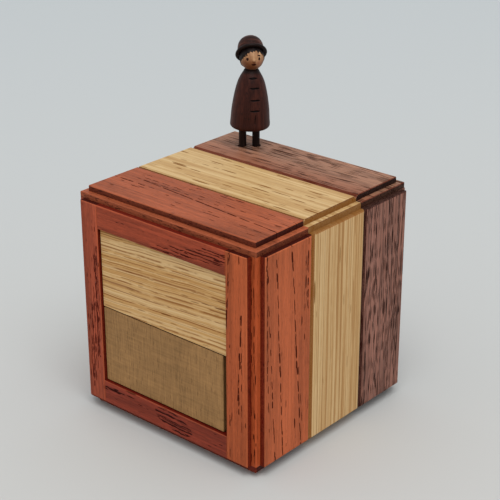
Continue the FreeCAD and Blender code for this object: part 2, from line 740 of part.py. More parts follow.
# hat: rolled brim and domed crown, hollowed to sit on the hair
brim, crown = D["brim_rad"], D["crown_rad"]
b0 = D["brim_low"]
b1 = b0 + D["brim_thick"]
top = D["crown_top"]
hat_points = [
    (Size.of(0.0), b0 + 0.2),
    (crown - 0.6, b0 + 0.2),
    (brim - 0.75, b0 - 0.1),
    (brim - 0.2, b0 + 0.12),
    (brim, b0 + 0.55),
    (brim - 0.22, b1 - 0.12),
    (brim - 0.65, b1 + 0.02),
    (crown + 0.2, b1 + 0.22),
    (crown, b1 + 0.75),
    (crown - 0.08, b1 + 2.25),
    (crown - 0.5, b1 + 4.05),
    (crown - 1.25, b1 + 5.4),
    (crown - 2.6, b1 + 6.62),
    (Size.of(1.2), top - 0.14),
    (Size.of(0.0), top),
]
hat = turned("hat", hat_points, head_x, head_y, head_z, hat_rot, spline=(1, 13),
             register=False)
hat_seat = sphere("hat_seat", D["head_rad"] + D["hair_thick"], head_x, head_y, head_z)
cut("hat", hat, [hat_seat])

# ---------------------------------------------------------------- spring and lock
stem_high = lifter_low + D["stem_socket"]
stem_r, col_half = D["stem_dia"] / 2.0, D["collar_wide"] / 2.0
stem = cylinder("lock_stem", stem_r, stem_high - D["stem_low"], jack_x, jack_y, D["stem_low"])
SUBPARTS.append(stem)
cut("lock_collar",
    block("collar_square", jack_x - col_half, jack_x + col_half, jack_y - col_half,
          jack_y + col_half, D["collar_low"], D["collar_high"]),
    [cylinder("collar_bore", stem_r, D["collar_high"] - D["collar_low"] + 2.0, jack_x, jack_y,
              D["collar_low"] - 1.0)])
disc = cylinder("strike_disc", stem_r, D["disc_thick"], jack_x, jack_y,
                D["stem_low"] - D["disc_thick"])
SUBPARTS.append(disc)
post = cylinder("magnet_post", D["post_dia"] / 2.0, D["post_tall"], jack_x, jack_y, wall_low)
SUBPARTS.append(post)
magnet = cylinder("hold_magnet", D["magnet_dia"] / 2.0, D["magnet_thick"], jack_x, jack_y,
                  wall_low + D["post_tall"])
SUBPARTS.append(magnet)

guide = board("guide_shelf", -plate, D["guide_right"], bay_rear, plate, D["guide_low"],
              D["guide_low"] + D["guide_thick"], register=False)
cut("guide_shelf", guide, [
    cylinder("guide_bore", D["guide_hole"] / 2.0, D["guide_thick"] + 2.0, jack_x, jack_y,
             D["guide_low"] - 1.0),
    block("guide_post_notch", -plate - 1.0, -post_in + 0.2, post_in - 0.2, plate + 1.0,
          D["guide_low"] - 1.0, D["guide_low"] + D["guide_thick"] + 1.0)])

# coil spring between the guide shelf and the lifter block
seat = number(D["guide_low"]) + number(D["guide_thick"])
room = number(lifter_low) - seat
wire = number(D["wire_dia"])
coil_r = number(D["coil_dia"]) / 2.0
rise = room - wire - 0.1
turns = number(D["coil_turns"])
facets = 12                      # straight runs in each turn of the wire
count = int(round(turns * facets))
path = [Vector(coil_r * math.cos(2.0 * math.pi * i / facets),
               coil_r * math.sin(2.0 * math.pi * i / facets),
               rise * i / count) for i in range(count + 1)]
ring = Part.Wire(Part.makeCircle(wire / 2.0, path[0], (path[1] - path[0]).normalize()))
coil = Part.makePolygon(path).makePipeShell([ring], True, False, 1)
if coil.Volume < 0:
    coil.reverse()
spring = doc.addObject("Part::Feature", "spring")
spring.Label = "spring"
spring.Shape = coil
spring.Placement = Placement(
    Vector(number(jack_x), number(jack_y), seat + wire / 2.0 + 0.05), Rotation())
SUBPARTS.append(spring)

# ---------------------------------------------------------------- checks and files
doc.recompute()
faults = []
for obj in doc.Objects:
    if "Invalid" in obj.State or "Error" in obj.State:
        faults.append("%s: %s" % (obj.Label, obj.State))
labels = [obj.Label for obj in SUBPARTS]
if len(set(labels)) != len(labels):
    faults.append("labels repeat: %s" % labels)
for obj in SUBPARTS:
    shape = obj.Shape
    solids = 2 if obj.TypeId == "Part::Compound" else 1
    if (shape.isNull() or not shape.isValid() or len(shape.Solids) != solids
            or shape.Volume <= 0):
        faults.append("%s: bad shape" % obj.Label)
if faults:
    raise RuntimeError("; ".join(faults))

os.makedirs("parts", exist_ok=True)
for obj in SUBPARTS:
    obj.Shape.exportStep("parts/%s.step" % obj.Label)
print("%d pieces written" % len(SUBPARTS))
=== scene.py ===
import math
import random

import bpy
import bmesh
from mathutils import Matrix, Vector


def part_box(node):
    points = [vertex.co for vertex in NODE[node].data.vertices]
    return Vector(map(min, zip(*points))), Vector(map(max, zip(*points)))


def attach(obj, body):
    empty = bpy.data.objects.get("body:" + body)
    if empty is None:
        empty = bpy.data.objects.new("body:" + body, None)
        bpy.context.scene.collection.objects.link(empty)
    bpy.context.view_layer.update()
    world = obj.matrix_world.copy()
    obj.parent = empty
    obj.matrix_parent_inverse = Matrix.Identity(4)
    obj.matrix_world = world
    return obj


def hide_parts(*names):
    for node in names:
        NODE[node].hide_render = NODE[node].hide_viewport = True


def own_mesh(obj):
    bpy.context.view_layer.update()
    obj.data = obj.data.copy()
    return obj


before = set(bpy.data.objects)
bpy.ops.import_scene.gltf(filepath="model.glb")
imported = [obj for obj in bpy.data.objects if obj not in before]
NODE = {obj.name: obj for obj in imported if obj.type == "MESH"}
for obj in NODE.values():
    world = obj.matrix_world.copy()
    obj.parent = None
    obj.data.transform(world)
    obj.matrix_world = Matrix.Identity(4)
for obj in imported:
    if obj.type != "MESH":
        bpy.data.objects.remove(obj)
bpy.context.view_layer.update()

# Wooden trick box of three woods with a sprung peg figure. Metres, +Z up, -Y out of the front.
MM = 0.001


# ------------------------------------------------------------------ node networks
def shade(r, g, b):
    """Linear colour from display values of 0 to 255."""
    def lin(c):
        c = c / 255.0
        return c / 12.92 if c <= 0.04045 else ((c + 0.055) / 1.055) ** 2.4
    return (lin(r), lin(g), lin(b), 1.0)


class Num:
    """A number that varies over the surface."""

    def __init__(self, web, sock):
        self.web, self.sock = web, sock

    def __add__(self, o):
        return self.web.math("ADD", self, o)

    __radd__ = __add__

    def __sub__(self, o):
        return self.web.math("SUBTRACT", self, o)

    def __rsub__(self, o):
        return self.web.math("SUBTRACT", o, self)

    def __mul__(self, o):
        return self.web.math("MULTIPLY", self, o)

    __rmul__ = __mul__

    def __truediv__(self, o):
        return self.web.math("DIVIDE", self, o)

    def __abs__(self):
        return self.web.math("ABSOLUTE", self)


class Web:
    """Node network of one material."""

    def __init__(self, name):
        self.mat = bpy.data.materials.new(name)
        self.mat.use_nodes = True
        self.tree = self.mat.node_tree
        self.tree.nodes.clear()
        self.out = self.new("ShaderNodeOutputMaterial")
        self.shader = self.new("ShaderNodeBsdfPrincipled")
        self.tree.links.new(self.shader.outputs[0], self.out.inputs[0])
        self.coord = self.new("ShaderNodeTexCoord")

    def new(self, kind, **props):
        node = self.tree.nodes.new(kind)
        for key, value in props.items():
            setattr(node, key, value)
        return node

    def put(self, socket, value):
        if isinstance(value, Num):
            self.tree.links.new(value.sock, socket)
        elif isinstance(value, bpy.types.NodeSocket):
            self.tree.links.new(value, socket)
        else:
            socket.default_value = value

    def math(self, op, a, b=None, clamp=False):
        node = self.new("ShaderNodeMath", operation=op, use_clamp=clamp)
        self.put(node.inputs[0], a)
        if b is not None:
            self.put(node.inputs[1], b)
        return Num(self, node.outputs[0])

    def least(self, a, b):
        return self.math("MINIMUM", a, b)

    def most(self, a, b):
        return self.math("MAXIMUM", a, b)

    def combine(self, x, y, z):
        node = self.new("ShaderNodeCombineXYZ")
        for socket, value in zip(node.inputs, (x, y, z)):
            self.put(socket, value)
        return node.outputs[0]

    def separate(self, vector):
        node = self.new("ShaderNodeSeparateXYZ")
        self.put(node.inputs[0], vector)
        return [Num(self, o) for o in node.outputs]

    def scaled(self, vector, factor):
        node = self.new("ShaderNodeVectorMath", operation="SCALE")
        self.put(node.inputs[0], vector)
        node.inputs["Scale"].default_value = factor
        return node.outputs[0]

    def dot(self, vector, fixed):
        node = self.new("ShaderNodeVectorMath", operation="DOT_PRODUCT")
        self.put(node.inputs[0], vector)
        node.inputs[1].default_value = fixed
        return Num(self, node.outputs["Value"])

    def moved(self, vector, offset):
        node = self.new("ShaderNodeVectorMath", operation="SUBTRACT")
        self.put(node.inputs[0], vector)
        node.inputs[1].default_value = offset
        return node.outputs[0]

    def length(self, vector):
        node = self.new("ShaderNodeVectorMath", operation="LENGTH")
        self.put(node.inputs[0], vector)
        return Num(self, node.outputs["Value"])

    def noise(self, vector, detail=2.0, rough=0.5, scale=1.0, twist=0.0):
        node = self.new("ShaderNodeTexNoise")
        self.put(node.inputs["Vector"], vector)
        node.inputs["Scale"].default_value = scale
        node.inputs["Detail"].default_value = detail
        node.inputs["Roughness"].default_value = rough
        node.inputs["Distortion"].default_value = twist
        return Num(self, node.outputs[0])

    def cells(self, vector):
        node = self.new("ShaderNodeTexVoronoi")
        self.put(node.inputs["Vector"], vector)
        node.inputs["Scale"].default_value = 1.0
        node.inputs["Randomness"].default_value = 1.0
        split = self.new("ShaderNodeSeparateColor")
        self.put(split.inputs[0], node.outputs["Color"])
        chance = [Num(self, o) for o in split.outputs]
        return Num(self, node.outputs["Distance"]), chance, self.separate(node.outputs["Position"])

    def ease(self, value, start, stop, low=0.0, high=1.0):
        """Smooth step from low at start to high at stop."""
        node = self.new("ShaderNodeMapRange", interpolation_type="SMOOTHSTEP")
        self.put(node.inputs["Value"], value)
        self.put(node.inputs["From Min"], start)
        self.put(node.inputs["From Max"], stop)
        self.put(node.inputs["To Min"], low)
        self.put(node.inputs["To Max"], high)
        return Num(self, node.outputs[0])

    def ramp(self, value, stops):
        node = self.new("ShaderNodeValToRGB")
        self.put(node.inputs[0], value)
        elements = node.color_ramp.elements
        while len(elements) < len(stops):
            elements.new(0.5)
        for element, (pos, colour) in zip(elements, stops):
            element.position = pos
            element.color = colour
        return node.outputs[0]

    def mix(self, share, a, b, blend="MIX"):
        node = self.new("ShaderNodeMix", data_type="RGBA", blend_type=blend)
        self.put(node.inputs[0], share)
        self.put(node.inputs[6], a)
        self.put(node.inputs[7], b)
        return node.outputs[2]

    def attribute(self, name):
        node = self.new("ShaderNodeAttribute", attribute_name=name)
        return Num(self, node.outputs["Fac"])

    def relief(self, height, depth, strength=1.0, below=None):
        node = self.new("ShaderNodeBump")
        node.inputs["Strength"].default_value = strength
        node.inputs["Distance"].default_value = depth
        self.put(node.inputs["Height"], height)
        if below is not None:
            self.put(node.inputs["Normal"], below)
        return node.outputs[0]

    def finish(self, colour, rough, normal=None, gloss=0.5, coat=0.0, coat_rough=0.3, metal=0.0):
        s = self.shader.inputs
        self.put(s["Base Color"], colour)
        self.put(s["Roughness"], rough)
        self.put(s["Specular IOR Level"], gloss)
        s["Coat Weight"].default_value = coat
        s["Coat Roughness"].default_value = coat_rough
        s["Metallic"].default_value = metal
        if normal is not None:
            self.put(s["Normal"], normal)
        return self.mat


class Wood(Web):
    """Solid wood: u runs along the grain, v and w across it, in millimetres."""

    def __init__(self, name, along, across, seed, sway=0.5, turn=None, tilt=0.0):
        super().__init__(name)
        self.dice = random.Random(seed)
        self.along = along
        place = self.scaled(self.coord.outputs["Object"], 1.0 / MM)
        if turn is not None:
            origin, axes = turn
            place = self.moved(place, origin)
            xyz = [self.dot(place, axis) for axis in axes]
        else:
            xyz = self.separate(place)
        rest = [i for i in range(3) if i not in (along, across)][0]
        self.u, self.v, self.w = xyz[along], xyz[across], xyz[rest]
        self.flat_v = self.v
        if tilt:
            self.v = self.v - self.u * tilt
        if sway:
            drift = self.field(0.022, 0.05, detail=2.0)
            self.v = self.v + (drift - 0.5) * (2.0 * sway)

    def shifts(self):
        return [self.dice.uniform(-300.0, 300.0) for _ in range(3)]

    def field(self, su, sv, sw=None, detail=2.0, rough=0.5, twist=0.0):
        a, b, c = self.shifts()
        vector = self.combine(self.u * su + a, self.v * sv + b, self.w * (sv if sw is None else sw) + c)
        return self.noise(vector, detail, rough, twist=twist)

    def pores(self, length, width, size, keep, soft=0.72):
        """Needle-shaped pores; keep is their share, or gives it from the pore's own place."""
        a, b, c = self.shifts()
        vector = self.combine(self.u * (1.0 / length) + a, self.v * (1.0 / width) + b,
                              self.w * (1.0 / width) + c)
        reach, chance, centre = self.cells(vector)
        share = keep
        if callable(keep):
            share = keep((centre[0] - a) * length, (centre[1] - b) * width)
        radius = chance[1] * size + 0.5 * size
        body = self.ease(reach, radius, radius * soft)
        return body * self.math("LESS_THAN", chance[0], share)

    def row(self, place, period):
        """Random cells along one direction: distance from the nearest cell's middle, and its dice."""
        node = self.new("ShaderNodeTexVoronoi", voronoi_dimensions="1D")
        self.put(node.inputs["W"], place * (1.0 / period))
        node.inputs["Scale"].default_value = 1.0
        node.inputs["Randomness"].default_value = 1.0
        split = self.new("ShaderNodeSeparateColor")
        self.put(split.inputs[0], node.outputs["Color"])
        return Num(self, node.outputs["Distance"]), [Num(self, o) for o in split.outputs]

    def dashes(self, start, slope, thick=0.34, period=4.5, share=0.8, wander=0.9, jitter=0.30,
               span=None, fill=0.32):
        """One line of pores along the grain at v = start + slope * u, drawn as broken dashes."""
        a, b, c = self.shifts()
        bend = self.noise(self.combine(self.u * 0.035 + a, b, c), 2.0)
        shake = self.noise(self.combine(self.u * 0.42 + b, c, a), 2.0)
        far, chance = self.row(self.u + c, period * 1.2)
        middle = self.u * slope + (bend * (2.0 * wander) + (shake * (1.8 * jitter) + chance[0] * jitter)) \
            + (start - wander - 1.4 * jitter)
        off = (self.flat_v - middle) / (chance[2] * (0.55 * thick) + 0.36 * thick)
        run = far / (chance[1] * 0.28 + fill)
        run = run * run
        mark = self.ease(run * run + off * off, 1.05, 0.45)
        mark = mark * self.math("LESS_THAN", chance[2], share)
        if span is not None:
            mark = mark * self.math("GREATER_THAN", self.u, span[0]) * self.math("LESS_THAN", self.u, span[1])
        return mark

    def stripes(self, period, thick, share, gap=0.5, reach=0.05):
        """Thin lines along the grain, unevenly spaced and broken here and there."""
        a, b, c = self.shifts()
        far, chance = self.row(self.v + self.w * 0.21 + a, period)
        half = chance[1] * (0.9 * thick) + 0.35 * thick
        line = self.ease(far * period, half * 1.25, half * 0.2)
        run = self.noise(self.combine(self.u * reach + chance[0] * 90.0, chance[2] * 70.0, b), 3.0, 0.6)
        run = self.ease(run, gap - 0.07, gap + 0.05)
        return line * run * self.math("LESS_THAN", chance[0], share)

    def flame(self, period, thick, bend=2.0):
        """Wavy dark lines, close together, of a figured patch."""
        a, b, c = self.shifts()
        wave = self.noise(self.combine(self.u * 0.20 + a, self.v * 0.34 + b, self.w * 0.2 + c), 3.0, 0.6)
        far, chance = self.row(self.v + wave * bend + self.w * 0.21 + a, period)
        half = chance[1] * (0.7 * thick) + 0.65 * thick
        line = self.ease(far * period, half * 1.25, half * 0.35)
        run = self.noise(self.combine(self.u * 0.20 + chance[0] * 90.0, chance[2] * 70.0, b), 2.0, 0.6)
        return line * self.ease(run, 0.30, 0.42)

    def patch(self, pu, pv, u0, v0, ru, rv, slope=0.0):
        """Share of pores inside one slanted oval."""
        du = (pu - u0) * (1.0 / ru)
        dv = (pv - v0 - (pu - u0) * slope) * (1.0 / rv)
        return self.ease(du * du + dv * dv, 1.15, 0.6)

    def edges(self, colour, face, end, wall=None, bevel=None, lip=1.0, lip_wall=1.0, grit=None):
        """Deeper tones on sawn ends, painted shade on the walls of the steps, and on bevels painted shade
        where the bevel tone is darker and a painted highlight where it is lighter.

        face is the axis that the board's main face looks along; each tone is (share, colour);
        lip and lip_wall scale the shares of sawn ends and walls below the top plate; grit is the
        share of dark specks on both."""
        look = [abs(n) for n in self.separate(self.coord.outputs["Normal"])]
        place = self.scaled(self.coord.outputs["Object"], 1.0 / MM)
        speck = self.noise(place, 3.0, 0.65, scale=1.7)
        above = self.ease(self.separate(place)[2], 98.9, 99.1)
        # bevels: painted shade where the bevel tone is darker than the board, a painted highlight where it is
        # lighter
        if bevel is not None and face is not None:
            side = self.ease(look[face], 0.86, 0.74) * self.ease(look[face], 0.45, 0.60)
            colour = self.mix(side * (speck * 0.8 + 0.55) * bevel[0], colour, bevel[1])
        # walls of the steps and recesses: painted shade
        if wall is not None and face is not None:
            side = self.ease(look[face], 0.50, 0.30)
            if lip_wall != 1.0:
                side = side * (above * (1.0 - lip_wall) + lip_wall)
            colour = self.mix(self.least(side * (speck * 0.8 + 0.62) * wall[0], 0.97), colour, wall[1])
        side = self.ease(look[self.along], 0.72, 0.86)
        if lip != 1.0:
            side = side * (above * (1.0 - lip) + lip)
        colour = self.mix(self.least(side * (speck * 1.2 + 0.42) * end[0], 0.97), colour, end[1])
        if grit is not None and face is not None:
            spots = self.ease(self.field(0.42, 1.7, detail=3.0, rough=0.65), 0.54, 0.62)
            side = self.ease(look[face], 0.50, 0.30)
            colour = self.mix(side * spots * grit, colour, end[1])
        return colour


def tones(*triples):
    return [shade(*t) for t in triples]


def about(r, g, b, spread):
    """Dark, middle and light tone round one colour, as display values."""
    mid = shade(r, g, b)
    return [tuple(c * k for c in mid[:3]) + (1.0,) for k in (1.0 - spread, 1.0, 1.0 + spread)]


# depth and wall give the painted shade on the step walls; bevel gives a painted highlight on the chamfers
def padauk(name, along, across, face, seed, tone, chains=(), patches=(), sprinkle=0.03, rough=0.48,
           end=0.84, wall=0.84, pore=(58, 9, 4), cloud=0.0, streaky=0.34,
           bevel=(0.22, (190, 104, 64)), depth=(94, 14, 4), lip=1.0, lip_wall=1.0, grit=0.5,
           spread=0.20, figure=0.22, ply=0.27):
    dark, mid, light = tone
    k = Wood(name, along, across, seed, sway=0.5)
    broad = k.field(0.014, 0.12, detail=2.0)
    streak = k.field(0.022, 0.95, detail=5.0, rough=0.68)
    fibre = k.field(0.22, 3.4, detail=4.0, rough=0.68)
    colour = k.ramp(broad * (0.66 - streaky) + streak * streaky + fibre * 0.34,
                    [(0.40, dark), (0.50, mid), (0.60, light)])
    if cloud:
        shadow = k.ease(k.field(0.03, 0.22, detail=2.0), 0.45, 0.68)
        colour = k.mix(shadow * cloud, colour, shade(86, 28, 20))
    tint = None
    for u0, v0, ru, rv, slope in patches:
        spot = k.patch(k.u, k.v, u0, v0, ru, rv, slope)
        tint = spot if tint is None else k.most(tint, spot)
    if tint is not None:
        colour = k.mix(tint * figure, colour, shade(86, 28, 22))

    def keep(pu, pv):
        share = k.ease(k.noise(k.combine(pu * 0.018 + seed, pv * 0.16, 0.0), 2.0), 0.55, 0.82) * spread
        share = share + sprinkle
        for u0, v0, ru, rv, slope in patches:
            share = share + k.patch(pu, pv, u0, v0, ru, rv, slope) * 0.20
        return share

    marks = k.pores(5.5, 0.66, 0.44, keep)
    marks = k.most(marks, k.pores(3.2, 0.50, 0.42, lambda pu, pv: keep(pu, pv) * 0.8))
    if patches:
        marks = k.most(marks, k.flame(1.12, ply) * k.ease(tint, 0.20, 0.60))
    for chain in chains:
        marks = k.most(marks, k.dashes(**chain))
    marks = k.most(marks, k.pores(2.6, 0.24, 0.36, 0.14) * 0.35)
    colour = k.mix(marks * 0.93, colour, shade(*pore))
    if tint is not None:
        # lighter streaks between the flame lines: painted highlight
        flame_highlight = k.ease(k.field(0.10, 1.5, detail=2.0), 0.50, 0.60)
        colour = k.mix(tint * flame_highlight * 0.7 * (1.0 - marks), colour, light)
    # painted shade on the step walls (depth tone), a painted highlight on the bevels, deeper sawn ends
    colour = k.edges(colour, face, (end, shade(48, 9, 5)), (wall, shade(*depth)),
                     (bevel[0], shade(*bevel[1])), lip=lip, lip_wall=lip_wall, grit=grit)
    normal = k.relief(fibre * 0.25 + streak * 0.15 - marks, 0.00022, 0.7)
    return k.finish(colour, fibre * 0.16 + marks * 0.25 + (rough - 0.08), normal,
                    gloss=(1.0 - marks * 0.7) * 0.11)


# wall gives painted shade on the step walls; bevel, where given, gives painted shade on the chamfers
def oak(name, along, across, face, seed, tone, lines=0.6, fine_lines=0.4, pore_share=0.10, sway=0.5,
        ring=0.55, spacing=1.7, gap=0.46, rough=0.50, line_tone=(142, 92, 40), tilt=0.0, cream=0.45,
        pore_tone=(126, 82, 34), reach=0.05, bevel=None, end=(0.80, (132, 82, 28)),
        wall=(0.60, (118, 72, 26)), wave=0.0, thick=0.36, broad=1.0):
    dark, mid, light = tone
    k = Wood(name, along, across, seed, sway=sway, tilt=tilt)
    if wave:
        k.v = k.v + (k.field(0.045, 0.10, detail=1.0) - 0.5) * wave
    band = k.field(0.005, 0.16, detail=2.0)
    rings = k.field(0.006, ring, ring * 0.5, detail=4.0, rough=0.62)
    fibre = k.field(0.20, 4.2, detail=3.0, rough=0.6)
    colour = k.ramp(band * 0.26 + rings * 0.54 + fibre * 0.20,
                    [(0.37, dark), (0.50, mid), (0.61, light)])
    pale = k.ease(k.field(0.005, ring * 0.9, ring * 0.5, detail=3.0), 0.52, 0.62)
    colour = k.mix(pale * cream, colour, light)
    # brown lines where one year's wood meets the next, with finer ones between them
    line = k.stripes(spacing, thick, 0.88, gap, reach)
    thin = k.stripes(spacing * 0.6, thick * 0.7, 0.8, gap, reach * 1.6)
    colour = k.mix(thin * fine_lines, colour, shade(*line_tone))
    colour = k.mix(line * lines, colour, shade(*line_tone))

    def keep(pu, pv):
        spread = k.noise(k.combine(pu * 0.02 + seed, pv * 0.22, 0.0), 2.0)
        return k.ease(spread, 0.42, 0.70) * (pore_share * 2.2) + pore_share * 0.3

    marks = k.pores(11.0, 0.70 * broad, 0.42, keep)
    marks = k.most(marks, k.pores(6.0, 0.50 * broad, 0.40, lambda pu, pv: keep(pu, pv) * 0.7) * 0.7)
    colour = k.mix(marks * 0.85, colour, shade(*pore_tone))
    # painted shade on the step walls and on the darker bevels; deeper sawn ends
    colour = k.edges(colour, face, (end[0], shade(*end[1])), (wall[0], shade(*wall[1])),
                     None if bevel is None else (bevel[0], shade(*bevel[1])), lip=0.75, grit=0.30)
    normal = k.relief(fibre * 0.2 + rings * 0.2 - marks * 0.6, 0.00014, 0.5)
    return k.finish(colour, fibre * 0.14 + marks * 0.2 + (rough - 0.07), normal,
                    gloss=(1.0 - marks * 0.7) * 0.11)


# bevel gives painted shade on the chamfers; the step walls get painted shade in edges()
def walnut(name, along, across, face, seed, tone, share=0.36, rough=0.46, contrast=0.6,
           bevel=(0.85, (54, 22, 16)), tint=(150, 112, 100), lip=0.35, broad=1.0,
           bare=None, pore=(34, 13, 9), warm=None, crisp=0.6, reach=1.0):
    dark, mid, light = tone
    k = Wood(name, along, across, seed, sway=1.0)
    cloud = k.field(0.010, 0.10, detail=2.0)
    streak = k.field(0.018, 1.15, detail=5.0, rough=0.68)
    fibre = k.field(0.08, 2.6, detail=4.0, rough=0.68)
    colour = k.ramp(cloud * 0.22 + streak * 0.44 + fibre * 0.34,
                    [(0.42, dark), (0.50, mid), (0.58, light)])
    pale = k.ease(k.field(0.04, 2.0, detail=3.0, rough=0.6), 0.52, 0.60)
    colour = k.mix(pale * contrast, colour, shade(*tint))
    if warm is not None:
        colour = k.mix(k.ease(k.v, warm[0], warm[1]) * warm[2], colour, shade(*warm[3]))

    def keep(pu, pv):
        spread = k.noise(k.combine(pu * 0.012 + seed, pv * 0.22, 0.0), 2.0)
        amount = k.ease(spread, 0.34, 0.66) * share + share * 0.5
        if bare is not None:
            amount = amount * k.ease(pu, bare[0], bare[1], bare[2], 1.0)
        return amount

    marks = k.pores(13.0 * reach, 0.50 * broad, 0.42, keep, crisp)
    marks = k.most(marks, k.pores(8.0 * reach, 0.42 * broad, 0.42, keep, crisp))
    marks = k.most(marks, k.pores(18.0 * reach, 0.46 * broad, 0.42, lambda pu, pv: keep(pu, pv) * 0.7, crisp))
    colour = k.mix(marks * 0.95, colour, shade(*pore))
    # painted shade on the step walls and on the darker bevels; deeper sawn ends
    colour = k.edges(colour, face, (0.90, shade(34, 16, 11)), (0.80, shade(44, 20, 14)),
                     (bevel[0], shade(*bevel[1])), lip=lip)
    normal = k.relief(fibre * 0.3 + streak * 0.2 - marks, 0.00022, 0.7)
    return k.finish(colour, fibre * 0.16 + marks * 0.22 + (rough - 0.08), normal,
                    gloss=(1.0 - marks * 0.7) * 0.11)


def olive(name, along, across, face, seed, tone, rough=0.5):
    dark, mid, light = tone
    k = Wood(name, along, across, seed, sway=0.3)
    cloud = k.field(0.05, 0.06, detail=2.0)
    fibre = k.field(0.07, 1.3, detail=5.0, rough=0.70)
    thread = k.field(0.22, 3.4, detail=3.0, rough=0.65)
    weft = k.field(0.9, 0.07, detail=4.0, rough=0.65)
    colour = k.ramp(cloud * 0.20 + fibre * 0.30 + thread * 0.24 + weft * 0.26,
                    [(0.40, dark), (0.50, mid), (0.60, light)])
    flecks = k.most(k.pores(2.4, 0.50, 0.40, 0.16), k.pores(4.0, 0.50, 0.40, 0.06))
    colour = k.mix(flecks * 0.36, colour, shade(88, 58, 30))
    # painted shade on the walls round the drawer front; deeper sawn ends
    colour = k.edges(colour, face, (0.5, shade(70, 46, 24)), (0.5, shade(80, 54, 28)))
    normal = k.relief(thread * 0.4 + fibre * 0.4 - flecks * 0.6, 0.00012, 0.5)
    return k.finish(colour, thread * 0.16 + (rough - 0.08), normal, gloss=0.11)


def plain_wood(name, along, across, seed, dark, mid, light, rough=0.55):
    k = Wood(name, along, across, seed, sway=0.8)
    rings = k.field(0.006, 0.35, detail=3.0, rough=0.55)
    fine = k.field(0.03, 2.6, detail=3.0, rough=0.6)
    fibre = k.field(0.4, 6.0, detail=2.0)
    colour = k.ramp(rings * 0.5 + fine * 0.3 + fibre * 0.2,
                    [(0.34, dark), (0.50, mid), (0.66, light)])
    flecks = k.pores(2.2, 0.36, 0.34, 0.16)
    colour = k.mix(flecks * 0.35, colour, dark)
    colour = k.edges(colour, None, (0.35, dark))
    normal = k.relief(fibre * 0.4 + fine * 0.3 - flecks * 0.6, 0.00012, 0.5)
    return k.finish(colour, fibre * 0.14 + fine * 0.10 + (rough - 0.12), normal, gloss=0.25)


def chain(start, slope=0.0, **more):
    return dict(start=start, slope=slope, **more)


X, Y, Z = 0, 1, 2
RED_TOP = about(153, 79, 50, 0.46)
RED_SIDE = about(176, 90, 54, 0.34)
RED_STILE_L = about(159, 74, 49, 0.46)
RED_STILE_R = about(169, 83, 47, 0.36)
RED_RAIL_T = about(146, 64, 41, 0.48)
RED_RAIL_B = about(133, 55, 38, 0.42)
RED_POST = about(176, 80, 42, 0.40)
TAN_TOP = tones((172, 130, 79), (196, 159, 107), (214, 184, 135))
TAN_SIDE = tones((168, 123, 73), (194, 152, 100), (216, 183, 134))
TAN_FRONT = tones((180, 129, 73), (203, 158, 100), (223, 189, 139))
BROWN_TOP = about(149, 106, 84, 0.50)
BROWN_SIDE = about(134, 90, 76, 0.56)
